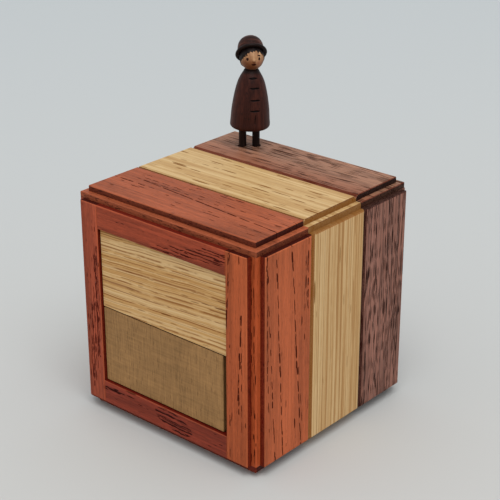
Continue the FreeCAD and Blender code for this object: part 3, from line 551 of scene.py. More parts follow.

# In these finishes the wall and depth tones are painted shade on the step walls; the bevel tones are painted
# shade on oak and walnut and a painted highlight on padauk.
FINISH = {
    "top_board_padauk": padauk(
        "padauk_top", X, Y, Z, 11, RED_TOP, sprinkle=0.010, wall=0.72, depth=(66, 15, 8),
        lip=0.62, lip_wall=0.22, grit=0.75, spread=0.06, bevel=(0.20, (176, 92, 62)),
        chains=[chain(-29.3, -0.085, thick=0.52, period=4.0, wander=0.25, jitter=0.10, share=1.1,
                      fill=0.46, span=(-36, 46)),
                chain(-30.7, 0.0, thick=0.50, period=3.6, wander=0.2, jitter=0.2, share=0.8,
                      span=(-46, -22)),
                chain(-32.6, 0.0, thick=0.46, period=3.6, wander=0.2, share=0.4, span=(-44, -8)),
                chain(-24.6, -0.02, thick=0.46, period=3.6, wander=0.4, share=0.38, span=(-46, 46)),
                chain(-21.4, 0.0, thick=0.46, period=4.0, wander=0.5, share=0.30, span=(-46, 46)),
                chain(-19.2, 0.0, thick=0.46, period=3.4, wander=0.3, share=0.34, span=(-46, 20)),
                chain(-27.0, -0.03, thick=0.44, period=3.6, wander=0.4, share=0.40, span=(-46, 14)),
                chain(-36.0, -0.03, thick=0.44, period=4.0, wander=0.5, share=0.22, span=(-46, 46)),
                chain(-41.0, 0.0, thick=0.44, period=5.0, wander=0.5, share=0.16, span=(-46, 46))]),
    "bottom_board_padauk": padauk("padauk_bottom", X, Y, Z, 12, RED_TOP,
                                  chains=[chain(-26.0, 0.01), chain(-36.0, 0.0)]),
    "side_right_padauk": padauk(
        "padauk_right", Z, Y, X, 13, RED_SIDE, sprinkle=0.006, spread=0.10,
        chains=[chain(-22.4, -0.079, period=5.0, thick=0.66, wander=0.5, share=0.97, fill=0.38),
                chain(-34.2, -0.050, period=4.2, thick=0.56, wander=0.5, share=0.92, fill=0.36),
                chain(-38.8, -0.060, period=4.0, thick=0.50, wander=0.6, share=0.88),
                chain(-19.6, 0.0, thick=0.54, period=3.6, span=(66, 100), wander=0.3, share=0.95),
                chain(-20.6, 0.0, period=4.0, span=(72, 100), wander=0.3, share=0.7),
                chain(-42.6, -0.02, period=4.0, span=(20, 100), share=0.6),
                chain(-44.3, 0.0, period=3.2, span=(40, 100), wander=0.3, share=0.85),
                chain(-21.4, -0.079, period=6.0, thick=0.30, span=(0, 60), share=0.6),
                chain(-18.6, 0.0, period=5.0, span=(0, 60), wander=0.4, share=0.35)]),
    "side_left_padauk": padauk(
        "padauk_left", Z, Y, X, 14, RED_SIDE,
        chains=[chain(-30.0, 0.05), chain(-38.0, 0.03), chain(-23.0, 0.02)]),
    "post_front_right": padauk("padauk_post_fr", Z, X, None, 15, RED_POST, sprinkle=0.05, wall=0.0,
                               chains=[chain(47.0, 0.0, wander=0.3, share=0.8, period=5.0),
                                       chain(45.6, 0.0, wander=0.3, share=0.7, period=4.0)]),
    "post_front_left": padauk("padauk_post_fl", Z, X, None, 16, RED_STILE_L, sprinkle=0.05, wall=0.0),
    "front_stile_left": padauk(
        "padauk_stile_left", Z, X, Y, 17, RED_STILE_L, sprinkle=0.06, cloud=0.16, pore=(74, 19, 13),
        figure=0.10, ply=0.18,
        patches=[(62.0, -37.6, 18.0, 1.5, 0.0), (42.0, -39.6, 19.0, 3.0, 0.03),
                 (24.0, -42.0, 10.0, 1.6, 0.03)],
        chains=[chain(-40.4, 0.045, thick=0.42, period=4.0, span=(20, 78), share=0.9),
                chain(-42.6, 0.03, thick=0.42, period=3.6, span=(0, 50), share=0.9),
                chain(-38.6, 0.0, thick=0.42, period=3.8, span=(30, 74), share=0.9),
                chain(-37.6, 0.0, thick=0.40, period=4.5, span=(26, 78), wander=0.3, share=0.95)]),
    "front_stile_right": padauk(
        "padauk_stile_right", Z, X, Y, 18, RED_STILE_R, sprinkle=0.006,
        chains=[chain(31.2, 0.058, thick=0.50, period=4.6, span=(60, 100), wander=0.3, share=0.95),
                chain(32.6, 0.040, period=4.0, span=(66, 96), wander=0.3, share=0.8),
                chain(36.4, 0.0, thick=0.44, period=3.6, span=(0, 26), wander=0.4, share=0.75),
                chain(37.4, 0.0, period=4.4, span=(0, 30), share=0.5),
                chain(38.9, 0.052, thick=0.50, period=4.0, span=(34, 72), wander=0.3, share=0.95),
                chain(39.9, 0.040, period=4.6, span=(30, 72), wander=0.4, share=0.85),
                chain(42.8, 0.0, period=4.0, span=(20, 60), wander=0.5, share=0.8),
                chain(41.4, 0.0, period=4.2, span=(28, 58), wander=0.4, share=0.8)]),
    "front_rail_top": padauk(
        "padauk_rail_top", X, Z, Y, 19, RED_RAIL_T, sprinkle=0.012, cloud=0.15, pore=(60, 14, 10),
        ply=0.23, figure=0.06,
        patches=[(9.0, 88.8, 15.0, 2.2, 0.14), (25.0, 91.3, 13.0, 3.0, 0.14)]),
    "front_rail_bottom": padauk(
        "padauk_rail_bottom", X, Z, Y, 20, RED_RAIL_B, sprinkle=0.02, cloud=0.15, pore=(36, 9, 9),
        figure=0.36, ply=0.28,
        patches=[(5.0, 10.6, 11.0, 4.4, -0.16), (-31.0, 12.4, 5.0, 1.6, 0.0)]),
    "top_board_oak": oak("oak_top", X, Y, Z, 31, TAN_TOP, lines=0.46, fine_lines=0.20, pore_share=0.12,
                         spacing=3.0, gap=0.53, bevel=(0.95, (104, 58, 20)), reach=0.06, thick=0.44,
                         pore_tone=(122, 76, 30), broad=1.6),
    "bottom_board_oak": oak("oak_bottom", X, Y, Z, 32, TAN_TOP, lines=0.40, pore_share=0.10),
    "side_right_oak": oak("oak_right", Z, Y, X, 33, TAN_SIDE, lines=0.62, fine_lines=0.26,
                          pore_share=0.010, sway=0.3, spacing=2.4, gap=0.45, reach=0.03,
                          line_tone=(150, 98, 44), bevel=(0.85, (136, 82, 30)), cream=0.7, ring=0.8),
    "side_left_oak": oak("oak_left", Z, Y, X, 34, TAN_SIDE, lines=0.60, pore_share=0.02,
                         line_tone=(156, 106, 52), bevel=(0.85, (136, 82, 30))),
    "upper_drawer_front": oak("oak_front", X, Z, Y, 35, TAN_FRONT, lines=0.80, fine_lines=0.45,
                              pore_share=0.05, sway=0.8, wave=1.6, spacing=2.3, gap=0.45, tilt=0.055,
                              reach=0.07, line_tone=(136, 80, 30), cream=0.6, ring=0.8, thick=0.44,
                              pore_tone=(112, 64, 24)),
    "top_board_walnut": walnut("walnut_top", X, Y, Z, 41, BROWN_TOP, share=0.44, broad=1.25,
                               bevel=(0.85, (104, 45, 29)), tint=(166, 120, 92), bare=(-32.0, 14.0, 0.20),
                               pore=(50, 20, 12), warm=(34.0, 20.0, 0.50, (146, 80, 52))),
    "bottom_board_walnut": walnut("walnut_bottom", X, Y, Z, 42, BROWN_TOP),
    "side_right_walnut": walnut("walnut_right", Z, Y, X, 43, BROWN_SIDE, share=0.36, broad=1.0, contrast=0.42,
                                crisp=0.80, reach=0.78),
    "side_left_walnut": walnut("walnut_left", Z, Y, X, 44, BROWN_SIDE, share=0.50),
    "back_board": walnut("walnut_back", Z, X, Y, 45, BROWN_SIDE, share=0.48),
    "post_rear_right": walnut("walnut_post_rr", Z, X, None, 46, BROWN_SIDE),
    "post_rear_left": walnut("walnut_post_rl", Z, X, None, 47, BROWN_SIDE),
    "lower_drawer_front": olive("olive_front", Z, X, Y, 51, about(152, 114, 72, 0.30)),
}
BIRCH = tones((176, 138, 92), (204, 170, 122), (222, 192, 148))
LIGHT = {
    "z": plain_wood("inner_upright", Z, Y, 61, *BIRCH),
    "x": plain_wood("inner_cross", X, Y, 62, *BIRCH),
    "y": plain_wood("inner_deep", Y, X, 63, *BIRCH),
    "hard": plain_wood("inner_hard", Z, X, 64, *tones((150, 108, 66), (182, 142, 94), (202, 166, 118))),
}
for node, key in {
    "bay_wall_left": "z", "bay_wall_right": "z", "bay_deck": "x", "bay_shelf": "x",
    "bay_ceiling": "x", "partition": "z", "guide_shelf": "x", "drawer_stop_upper": "x",
    "drawer_stop_lower": "x", "lower_runner": "y", "magnet_post": "hard", "lifter_block": "hard",
    "lock_stem": "hard", "lock_collar": "hard",
    "upper_drawer_side_left": "y", "upper_drawer_side_right": "y", "upper_drawer_back": "x",
    "upper_drawer_bottom": "x", "upper_drawer_fork_bars": "y", "upper_drawer_fork_catches": "y",
    "lower_drawer_side_left": "y", "lower_drawer_side_right": "y", "lower_drawer_back": "x",
    "lower_drawer_bottom": "x", "lower_drawer_fork_bars": "y", "lower_drawer_fork_bar_rear": "x",
}.items():
    FINISH[node] = LIGHT[key]


# ------------------------------------------------------------------ figure's frames
TURN = math.radians(45.0)
FOOT = Vector((-27.33, 34.83, 101.5))
FORWARD = Vector((math.sin(TURN), -math.cos(TURN), 0.0))
SIDE = Vector((math.cos(TURN), math.sin(TURN), 0.0))
LEAN = Matrix.Rotation(math.radians(-1.7), 3, FORWARD)
COAT_AXES = LEAN @ Matrix.Rotation(TURN, 3, "Z")
HEAD_MID = FOOT + LEAN @ Vector((0.0, 0.0, 40.0))
HEAD_R = 5.2


def nodding(tilt):
    """Axes of the head, or of the hat on it, leaning back by tilt degrees."""
    return (LEAN @ Matrix.Rotation(math.radians(7.0), 3, FORWARD)
            @ Matrix.Rotation(math.radians(-tilt), 3, SIDE)
            @ Matrix.Rotation(math.radians(57.0), 3, "Z"))


HEAD_AXES = nodding(36.0)
HAT_AXES = nodding(49.0)


def rows_of(axes):
    return [tuple(axes.col[i]) for i in range(3)]


COAT_TURN = (tuple(FOOT), rows_of(COAT_AXES))
HEAD_TURN = (tuple(HEAD_MID), rows_of(HEAD_AXES))
HAT_TURN = (tuple(HEAD_MID), rows_of(HAT_AXES))


def dark_wood(name, along, across, seed, dark, mid, light, turn=None, rough=0.42, carve=False,
              streaks=0.45, fine=4.0, long=0.035, gloss=0.11, bands=None, rim=None, neck=None):
    k = Wood(name, along, across, seed, sway=0.25, turn=turn)
    streak = k.field(long, 0.85, detail=4.0, rough=0.62)
    fibre = k.field(long * 6.0, fine, detail=3.0, rough=0.6)
    broad = k.field(long * 0.6, 0.22, detail=2.0)
    tone = broad * (0.80 - streaks) + streak * streaks + fibre * 0.20
    colour = k.ramp(tone, [(0.33, dark), (0.50, mid), (0.67, light)])
    if bands is not None:
        # paler year rings that cross the turned piece
        ring = k.noise(k.combine(k.u * 0.05, k.v * bands[0] + bands[1], k.w * 0.12), 2.0, 0.55)
        colour = k.mix(k.ease(ring, 0.50, 0.66) * bands[2], colour, shade(*bands[3]))
    pores = k.pores(2.2, 0.26, 0.36, 0.30)
    colour = k.mix(pores * 0.65, colour, shade(14, 7, 6))
    # rim: the brim darker, painted shade from the shadow under the brim
    if rim is not None:
        colour = k.mix(k.ease(k.v, rim[1], rim[0]) * rim[2], colour, shade(12, 7, 7))
    # neck: darker towards the top of the coat, painted shade under the head
    if neck is not None:
        colour = k.mix(k.ease(k.u, neck[0], neck[1]) * neck[2], colour, shade(16, 7, 6))
    if carve:
        cut = k.attribute("carve")
        colour = k.mix(cut, colour, shade(8, 4, 4))
    normal = k.relief(fibre * 0.35 - pores * 0.8, 0.00009, 0.5)
    return k.finish(colour, fibre * 0.16 + pores * 0.1 + (rough - 0.08), normal, gloss=gloss)


# neck: painted shade at the top of the coat under the head
COAT_WOOD = dark_wood("coat_wood", Z, X, 71, *tones((34, 14, 11), (54, 25, 19), (80, 40, 30)),
                      turn=COAT_TURN, carve=True, neck=(33.1, 34.5, 0.85))
# rim: painted shade that darkens the brim
HAT_WOOD = dark_wood("hat_wood", X, Z, 72, *tones((26, 13, 11), (46, 24, 20), (74, 42, 34)),
                     turn=HAT_TURN, streaks=0.55, bands=(0.75, 3.0, 0.55, (104, 62, 50)),
                     rim=(3.2, 3.8, 0.70))
BLACK_WOOD = dark_wood("black_wood", Z, X, 73, *tones((14, 8, 7), (27, 16, 14), (46, 29, 24)))
HAIR_WOOD = dark_wood("hair_wood", Z, X, 74, *tones((10, 6, 6), (20, 13, 13), (36, 25, 24)),
                      turn=HEAD_TURN, rough=0.46, gloss=0.13)
COLLAR_WOOD = dark_wood("collar_wood", X, Z, 76, *tones((18, 9, 7), (29, 14, 11), (44, 23, 18)))
FINISH["leg_left"] = FINISH["leg_right"] = BLACK_WOOD
FINISH["collar"] = COLLAR_WOOD


def face_wood():
    k = Wood("face_wood", Z, X, 75, sway=0.3, turn=HEAD_TURN)
    streak = k.field(0.06, 0.8, detail=3.0)
    fibre = k.field(0.4, 4.5, detail=3.0)
    colour = k.ramp(streak * 0.6 + fibre * 0.4,
                    tones_at((0.36, (136, 94, 63)), (0.5, (167, 122, 85)), (0.64, (192, 150, 110))))
    place = k.combine(k.v, k.w, k.u)        # local x, y, z of the head, in millimetres
    # Spots on the face: the darker lower-left cheek, the chin and the spot under the nose are painted shade;
    # the pink spot on the right cheek is the doll's blush; the smear from the left cheek to the nose and the
    # patch at the right side are darker tones.
    for direction, reach, share, tone in (((-64.0, -50.0), 5.2, 0.92, (106, 58, 28)),
                                          ((40.0, -46.0), 2.6, 0.40, (172, 104, 82)),
                                          ((-10.0, -80.0), 4.6, 0.88, (100, 56, 32)),
                                          ((-24.0, -40.0), 1.5, 0.45, (124, 74, 44)),
                                          ((-3.0, -42.5), 1.3, 0.70, (104, 55, 30)),
                                          ((80.0, -30.0), 4.0, 0.70, (112, 64, 42))):
        near = k.length(k.moved(place, tuple(on_head(*direction))))
        colour = k.mix(k.ease(near, reach, reach * 0.15) * share, colour, shade(*tone))
    normal = k.relief(fibre, 0.00005, 0.4)
    return k.finish(colour, fibre * 0.16 + 0.40, normal, gloss=0.25)


def tones_at(*pairs):
    return [(pos, shade(*rgb)) for pos, rgb in pairs]


def on_head(azimuth, elevation, radius=HEAD_R):
    """Point on the head in its own frame: azimuth from the face's front, elevation up the hat."""
    a, e = math.radians(azimuth), math.radians(elevation)
    return Vector((math.sin(a) * math.cos(e), -math.cos(a) * math.cos(e), math.sin(e))) * radius


def paint(name, seed, colour, lighter, rough=0.35):
    k = Wood(name, Z, X, seed, sway=0.0)
    grain = k.field(1.5, 3.5, detail=3.0)
    return k.finish(k.ramp(grain, [(0.35, shade(*colour)), (0.7, shade(*lighter))]),
                    grain * 0.2 + (rough - 0.1), k.relief(grain, 0.00003, 0.4), gloss=0.12)


def steel(name, seed, along, tone, rough):
    k = Wood(name, along, X if along != X else Y, seed, sway=0.0)
    drawn = k.field(0.15, 6.0, detail=3.0)
    cloud = k.field(0.3, 0.3, detail=2.0)
    mixed = drawn * 0.6 + cloud * 0.4
    low = tuple(c * 0.82 for c in tone[:3]) + (1.0,)
    return k.finish(k.ramp(mixed, [(0.3, low), (0.7, tone)]), mixed * 0.18 + (rough - 0.09),
                    k.relief(drawn, 0.00002, 0.4), metal=1.0)


FACE_WOOD = face_wood()
EYE_PAINT = paint("eye_paint", 81, (26, 8, 4), (46, 16, 8), 0.30)
MOUTH_PAINT = paint("mouth_paint", 82, (36, 8, 4), (58, 16, 8))
BROW_PAINT = paint("brow_paint", 83, (34, 16, 8), (56, 28, 14))
FINISH["strike_disc"] = steel("disc_steel", 91, X, shade(196, 196, 200), 0.30)
FINISH["hold_magnet"] = steel("magnet_plating", 92, X, shade(208, 208, 212), 0.22)
WIRE = steel("spring_wire", 93, Z, shade(176, 176, 182), 0.34)


# ------------------------------------------------------------------ pieces
def piece(name, verts, faces, body, material, stands_for=(), smooth=True, extra=None):
    mesh = bpy.data.meshes.new(name)
    mesh.from_pydata([tuple(v) for v in verts], [], faces)
    bm = bmesh.new()
    bm.from_mesh(mesh)
    bmesh.ops.recalc_face_normals(bm, faces=bm.faces)
    bm.to_mesh(mesh)
    bm.free()
    mesh.validate()
    for poly in mesh.polygons:
        poly.use_smooth = smooth
    if extra:
        for key, values in extra.items():
            layer = mesh.attributes.new(key, "FLOAT", "POINT")
            layer.data.foreach_set("value", values)
    mesh.materials.append(material)
    obj = bpy.data.objects.new(name, mesh)
    bpy.context.scene.collection.objects.link(obj)
    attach(obj, body)
    if stands_for:
        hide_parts(*stands_for)
    return obj


def smooth_line(points, per=24):
    """Points along a smooth line through the given ones."""
    pts = [Vector(p) for p in points]
    pts = [pts[0] * 2 - pts[1]] + pts + [pts[-1] * 2 - pts[-2]]
    line = []
    for i in range(1, len(pts) - 2):
        p0, p1, p2, p3 = pts[i - 1:i + 3]
        t0 = 0.0
        t1 = t0 + max((p1 - p0).length ** 0.5, 1e-6)
        t2 = t1 + max((p2 - p1).length ** 0.5, 1e-6)
        t3 = t2 + max((p3 - p2).length ** 0.5, 1e-6)
        for j in range(per):
            t = t1 + (t2 - t1) * j / per
            a1 = p0 * ((t1 - t) / (t1 - t0)) + p1 * ((t - t0) / (t1 - t0))
            a2 = p1 * ((t2 - t) / (t2 - t1)) + p2 * ((t - t1) / (t2 - t1))
            a3 = p2 * ((t3 - t) / (t3 - t2)) + p3 * ((t - t2) / (t3 - t2))
            b1 = a1 * ((t2 - t) / (t2 - t0)) + a2 * ((t - t0) / (t2 - t0))
            b2 = a2 * ((t3 - t) / (t3 - t1)) + a3 * ((t - t1) / (t3 - t1))
            line.append(b1 * ((t2 - t) / (t2 - t1)) + b2 * ((t - t1) / (t2 - t1)))
    line.append(pts[-2])
    return line


def place(local, origin, axes):
    return (origin + axes @ local) * MM


def turned(rings, angles, origin, axes, inward=None):
    """Closed turned solid; rings run from pole to pole, inward gives a cut's depth."""
    verts, faces, carve = [], [], []
    first, last = rings[0], rings[-1]
    verts.append(place(Vector((0, 0, first[1])), origin, axes))
    carve.append(0.0)
    count = len(angles)
    for r, h in rings[1:-1]:
        for a in angles:
            depth = inward(a, h, r) if inward else 0.0
            rr = r - depth
            verts.append(place(Vector((math.sin(a) * rr, -math.cos(a) * rr, h)), origin, axes))
            carve.append(min(1.0, depth / 0.12))
    verts.append(place(Vector((0, 0, last[1])), origin, axes))
    carve.append(0.0)
    top = len(verts) - 1
    n = len(rings) - 2
    for j in range(count):
        k = (j + 1) % count
        faces.append((0, 1 + k, 1 + j))
        for i in range(n - 1):
            a, b = 1 + i * count, 1 + (i + 1) * count
            faces.append((a + j, a + k, b + k, b + j))
        faces.append((top, 1 + (n - 1) * count + j, 1 + (n - 1) * count + k))
    return verts, faces, carve


def build_coat():
    c, low = 8.82, 8.75
    side = smooth_line([
        (c - 2.0, low), (c - 0.85, low + 0.28), (c - 0.12, low + 1.05), (c, low + 2.0),
        (c - 0.17, low + 3.9), (c - 0.46, low + 8.1), (c - 1.02, low + 12.3),
        (c - 1.80, low + 16.6), (c - 2.95, low + 20.9), (c - 4.05, low + 23.4),
        (c - 5.05, low + 25.1), (3.15, 35.0)], 60)
    # carved bars across the front: angle, height, half length, half height
    bars = [(6.0, 32.10, 1.95, 0.40), (11.0, 28.02, 2.35, 0.40), (12.0, 22.93, 2.35, 0.42),
            (11.2, 18.32, 2.40, 0.42)]

    def inward(a, h, r):
        depth = 0.0
        for phi, mid, reach, tall in bars:
            s = (a - math.radians(phi)) * r
            if abs(s) < reach and abs(h - mid) < 1.0:
                room = tall * (1.0 - (abs(s) / reach) ** 2.6) ** 0.6
                t = abs(h - mid - 0.05 * math.sin(2.0 * s)) / max(room, 1e-6)
                if t < 1.0:
                    depth = max(depth, 0.50 * (1.0 - t ** 2.2) * min(1.0, 4.0 * (1.0 - abs(s) / reach)))
        if 12.6 < h < 16.8:
            middle = math.radians(11.8 - 1.9 * (16.6 - h) / 3.7)
            share = (h - 12.6) / 4.2
            room = 0.20 * math.sin(math.pi * min(1.0, share * 0.86 + 0.10)) ** 0.8
            t = abs(a - middle) * r / max(room, 1e-6)
            if t < 1.0:
                depth = max(depth, 0.34 * (1.0 - t ** 2.0))
        return depth

    rings, last = [(0.0, low + 0.02), (3.4, low + 0.01)], None
    for p in side:
        fine = any(abs(p.y - b[1]) < 0.60 for b in bars)
        gap = 0.045 if fine else 0.20 if 12.4 < p.y < 17.0 else 0.55
        if p.y < low + 2.0:
            gap = 0.18
        if last is None or (p - last).length >= gap or p is side[-1]:
            rings.append((p.x, p.y))
            last = p
    rings += [(2.9, 35.0), (2.4, 34.78), (1.2, 34.62), (0.0, 34.58)]
    angles, a = [], -180.0
    while a < 180.0 - 1e-6:
        angles.append(math.radians(a))
        a += 0.8 if -22.0 <= a < 36.0 else 4.0
    verts, faces, carve = turned(rings, angles, FOOT, COAT_AXES, inward)
    return piece("coat_turned", verts, faces, "jack", COAT_WOOD, ("coat",),
                 extra={"carve": carve})


NOSE = on_head(-4.0, -35.5).normalized()
CHEEKS = [on_head(-40.0, -50.0, 1.0), on_head(30.0, -50.0, 1.0)]


def head_radius(d):
    """Distance of the carved surface from the head's centre in the direction d."""
    lift = 0.58 * math.exp(-(math.degrees(d.angle(NOSE)) / 6.4) ** 2)
    for cheek in CHEEKS:
        lift += 0.05 * math.exp(-(math.degrees(d.angle(cheek)) / 16.0) ** 2)
    return HEAD_R + lift


def build_head():
    verts, faces = [], []
    rows, cols = 72, 120
    for i in range(rows + 1):
        e = -90.0 + 180.0 * i / rows
        for j in range(cols if 0 < i < rows else 1):
            d = on_head(360.0 * j / cols, e, 1.0)
            verts.append(place(d * head_radius(d), HEAD_MID, HEAD_AXES))

    def at(i, j):
        if i == 0:
            return 0
        if i == rows:
            return len(verts) - 1
        return 1 + (i - 1) * cols + j % cols

    for i in range(rows):
        for j in range(cols):
            quad = [at(i, j), at(i, j + 1), at(i + 1, j + 1), at(i + 1, j)]
            face = [v for n, v in enumerate(quad) if v not in quad[:n]]
            faces.append(tuple(face))
    return piece("head_turned", verts, faces, "jack", FACE_WOOD, ("head",))


def on_face(name, azimuth, elevation, half_wide, half_tall, rise, material, bow=0.0, tilt=0.0,
            power=2.0):
    """Small domed inlay that follows the head's carved surface."""
    rings, cols = 7, 28
    mid = on_head(azimuth, elevation, 1.0)
    across = Vector((0, 0, 1)).cross(mid).normalized()
    up = mid.cross(across).normalized()
    c, s = math.cos(math.radians(tilt)), math.sin(math.radians(tilt))
    verts, faces = [], []

    def point(x, y, lift):
        x, y = x * c - y * s, x * s + y * c
        d = (mid * HEAD_R + across * x + up * (y + bow * x * x)).normalized()
        return place(d * (head_radius(d) + lift), HEAD_MID, HEAD_AXES)

    verts.append(point(0, 0, rise))
    for i in range(1, rings + 1):
        t = i / rings
        lift = (rise + 0.10) * (1.0 - t ** 9.0) - 0.10
        for j in range(cols):
            a = 2.0 * math.pi * j / cols
            ca, sa = math.cos(a), math.sin(a)
            k = (abs(ca) ** power + abs(sa) ** power) ** (-1.0 / power)
            verts.append(point(half_wide * t * ca * k, half_tall * t * sa * k, lift))
    verts.append(point(0, 0, -0.30))
    low = len(verts) - 1
    for j in range(cols):
        k = (j + 1) % cols
        faces.append((0, 1 + j, 1 + k))
        for i in range(rings - 1):
            a, b = 1 + i * cols, 1 + (i + 1) * cols
            faces.append((a + j, b + j, b + k, a + k))
        a = 1 + (rings - 1) * cols
        faces.append((low, a + k, a + j))
    return piece(name, verts, faces, "jack", material)


def build_hair():
    """Cap of carved hair with a ragged fringe under the brim."""
    cols, rows = 360, 16
    # lower edge with its locks: (azimuth, elevation)
    edge = [(-180, -38), (-150, -40), (-120, -30), (-104, -20), (-96, -22), (-92, -13), (-85, -12),
            (-76, -17), (-70, -9), (-62, -14), (-55, -5), (-47, -8), (-43, 0), (-36, -1), (-31, 8),
            (-25, 2), (-18, 12), (-14, 10), (-8, 5), (-3, 13), (4, 8), (9, 16), (14, 15), (21, -1),
            (25, 9), (31, 13), (40, -1), (44, 9), (53, -4), (57, 3), (66, -8), (70, -4), (80, -14),
            (100, -24), (130, -36), (180, -38)]

    def low_edge(az):
        for (a0, e0), (a1, e1) in zip(edge, edge[1:]):
            if a0 <= az <= a1:
                return e0 + (e1 - e0) * (az - a0) / (a1 - a0)

    verts, faces = [], []
    outer, inner = [], []
    for j in range(cols):
        az = -180.0 + 360.0 * j / cols
        bottom = low_edge(az)
        col_o, col_i = [], []
        for i in range(rows + 1):
            t = i / rows
            el = bottom + (80.0 - bottom) * t ** 1.25
            lock = math.sin(math.radians(az * 11.0 + el * 2.0 + 40.0 * math.sin(math.radians(az * 3.0))))
            thick = (0.22 + 0.09 * lock) * min(1.0, 0.35 + 6.0 * t)
            col_o.append(len(verts))
            verts.append(place(on_head(az, el, HEAD_R + thick), HEAD_MID, HEAD_AXES))
            col_i.append(len(verts))
            verts.append(place(on_head(az, el, HEAD_R - 0.06), HEAD_MID, HEAD_AXES))
        outer.append(col_o)
        inner.append(col_i)
    for j in range(cols):
        k = (j + 1) % cols
        for i in range(rows):
            faces.append((outer[j][i], outer[k][i], outer[k][i + 1], outer[j][i + 1]))
            faces.append((inner[j][i + 1], inner[k][i + 1], inner[k][i], inner[j][i]))
        faces.append((inner[j][0], inner[k][0], outer[k][0], outer[j][0]))
        faces.append((outer[j][rows], outer[k][rows], inner[k][rows], inner[j][rows]))
    return piece("hair_carved", verts, faces, "jack", HAIR_WOOD, ("hair",))


def build_hat():
    brim, crown, b0 = 6.95, 5.74, 1.9
    b1, top = b0 + 1.25, 10.88
    outside = smooth_line([
        (5.26, b0 + 0.08), (brim - 0.75, b0 - 0.1), (brim - 0.2, b0 + 0.12), (brim, b0 + 0.55),
        (brim - 0.22, b1 - 0.12), (brim - 0.65, b1 + 0.02), (crown + 0.2, b1 + 0.22), (crown, b1 + 0.75),
        (crown - 0.08, b1 + 2.25), (crown - 0.5, b1 + 4.05), (crown - 1.25, b1 + 5.4),
        (crown - 2.6, b1 + 6.62), (1.2, top - 0.14), (0.02, top)], 9)
    rings = [(0.0, HEAD_R + 0.40)]
    seat = HEAD_R + 0.38
    for i in range(1, 15):
        a = math.radians(90.0 - (90.0 - 20.6) * i / 14.0)
        rings.append((seat * math.cos(a), seat * math.sin(a)))
    for p in outside[:-1]:
        rings.append((p.x, p.y))
    rings.append((0.0, top))
    angles = [2.0 * math.pi * j / 120 for j in range(120)]

    def inward(a, h, r):
        # fine tool rings on the crown and a shallow line above the brim
        if r < 4.0 and h < 6.0:
            return 0.0
        ring = 0.018 * math.sin(h * 9.0) if h > b1 + 0.8 else 0.0
        line = 0.10 * math.exp(-((h - (b1 + 1.25)) / 0.16) ** 2) if r > 5.0 else 0.0
        return ring + line

    verts, faces, _ = turned(rings, angles, HEAD_MID, HAT_AXES, inward)
    return piece("hat_turned", verts, faces, "jack", HAT_WOOD, ("hat",))


def build_spring():
    """Round-wire coil with a closed turn at each end."""
    low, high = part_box("spring")
    wire, coil = 0.45, 4.3
    z0, z1 = low.z / MM + wire, high.z / MM - wire
    per, turns = 32, 7.6
    count = int(per * turns)
    path = []
    for i in range(count + 1):
        t = i / per
        if t < 1.0:
            rise = 0.95 * t
        elif t > turns - 1.0:
            rise = (z1 - z0) - 0.95 * (turns - t)
        else:
            rise = 0.95 + (z1 - z0 - 1.9) * (t - 1.0) / (turns - 2.0)
        a = 2.0 * math.pi * t
        path.append(Vector((FOOT.x + coil * math.cos(a), FOOT.y + coil * math.sin(a), z0 + rise)))
    verts, faces, ring = [], [], 12
    for i, p in enumerate(path):
        ahead = (path[min(i + 1, count)] - path[max(i - 1, 0)]).normalized()
        out = Vector((p.x - FOOT.x, p.y - FOOT.y, 0.0)).normalized()
        up = ahead.cross(out).normalized()
        out = up.cross(ahead).normalized()
        for j in range(ring):
            a = 2.0 * math.pi * j / ring
            verts.append((p + (out * math.cos(a) + up * math.sin(a)) * wire) * MM)
    for i in range(count):
        for j in range(ring):
            k = (j + 1) % ring
            faces.append((i * ring + j, i * ring + k, (i + 1) * ring + k, (i + 1) * ring + j))
    faces.append(tuple(range(ring)))
    faces.append(tuple(count * ring + j for j in range(ring)))
    obj = piece("spring_coil", verts, faces, "box", WIRE, ("spring",))
    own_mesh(obj)
    return obj


build_coat()
build_head()
build_hair()
build_hat()
build_spring()
on_face("eye_left", -38.5, -22.0, 0.62, 0.76, 0.07, EYE_PAINT)
on_face("eye_right", 27.0, -23.5, 0.60, 0.80, 0.07, EYE_PAINT)
on_face("brow_left", -38.0, -4.0, 0.66, 0.24, 0.05, BROW_PAINT, bow=-0.12, tilt=8.0)
on_face("brow_right", 25.0, -8.5, 0.98, 0.40, 0.05, BROW_PAINT, bow=-0.12, tilt=-8.0)
on_face("mouth", -5.0, -55.0, 1.22, 0.60, 0.05, MOUTH_PAINT, bow=0.14)

for node, material in FINISH.items():
    obj = NODE[node]
    if obj.material_slots:
        obj.material_slots[0].material = material
    else:
        obj.data.materials.append(material)

# ------------------------------------------------------------------ floor, light and camera
def floor_finish():
    k = Web("paper")
    place_ = k.separate(k.coord.outputs["Object"])
    far = k.ease(place_[1] - place_[0] * 0.85, -0.5, 1.1)
    cloud = k.noise(k.coord.outputs["Object"], 2.0, scale=3.0)
    colour = k.ramp(far * 0.85 + cloud * 0.15, [(0.0, shade(198, 197, 194)), (1.0, shade(197, 202, 204))])
    return k.finish(colour, cloud * 0.1 + 0.75, None, gloss=0.2)


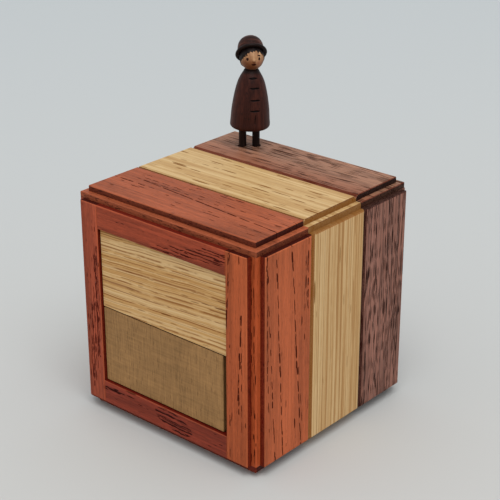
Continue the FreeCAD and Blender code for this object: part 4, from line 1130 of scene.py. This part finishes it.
floor_mesh = bpy.data.meshes.new("floor")
bm = bmesh.new()
bmesh.ops.create_grid(bm, x_segments=24, y_segments=24, size=4.0)
bm.to_mesh(floor_mesh)
bm.free()
floor_mesh.materials.append(floor_finish())
floor = bpy.data.objects.new("floor", floor_mesh)
floor.location.z = -0.00005
bpy.context.scene.collection.objects.link(floor)

world = bpy.data.worlds.new("studio")
world.use_nodes = True
back = world.node_tree.nodes["Background"]
back.inputs[0].default_value = (0.92, 0.95, 0.97, 1.0)
back.inputs[1].default_value = 0.72
bpy.context.scene.world = world


def softbox(name, spot, aim, size, power, tint=(1.0, 1.0, 1.0)):
    light = bpy.data.lights.new(name, "AREA")
    light.shape = "SQUARE"
    light.size = size
    light.energy = power
    light.color = tint
    obj = bpy.data.objects.new(name, light)
    obj.location = spot
    obj.rotation_mode = "QUATERNION"
    obj.rotation_quaternion = (Vector(aim) - Vector(spot)).to_track_quat("-Z", "Y")
    bpy.context.scene.collection.objects.link(obj)
    return obj


softbox("key", (1.15, -0.90, 3.00), (0.0, 0.0, 0.05), 2.4, 60.0, (1.0, 0.985, 0.96))

camera = bpy.data.cameras.new("camera")
camera.sensor_width = 36.0
camera.lens = 1378.171 / 500.0 * 36.0
camera.clip_start, camera.clip_end = 0.01, 50.0
view = bpy.data.objects.new("camera", camera)
az, el, roll = (math.radians(a) for a in (41.024, 23.758, -0.114))
toward = Vector((math.sin(az) * math.cos(el), -math.cos(az) * math.cos(el), math.sin(el)))
right = (-toward).cross(Vector((0, 0, 1))).normalized()
up = right.cross(-toward)
right2 = right * math.cos(roll) + up * math.sin(roll)
up2 = up * math.cos(roll) - right * math.sin(roll)
spot = (Vector((0.0, 0.0, 50.0)) + toward * 593.060 + right2 * 2.422 + up2 * 18.414) * MM
matrix = Matrix((right2, up2, toward)).transposed().to_4x4()
matrix.translation = spot
view.matrix_world = matrix
bpy.context.scene.collection.objects.link(view)
bpy.context.scene.camera = view
bpy.context.scene.view_settings.view_transform = "Standard"

bpy.context.view_layer.update()
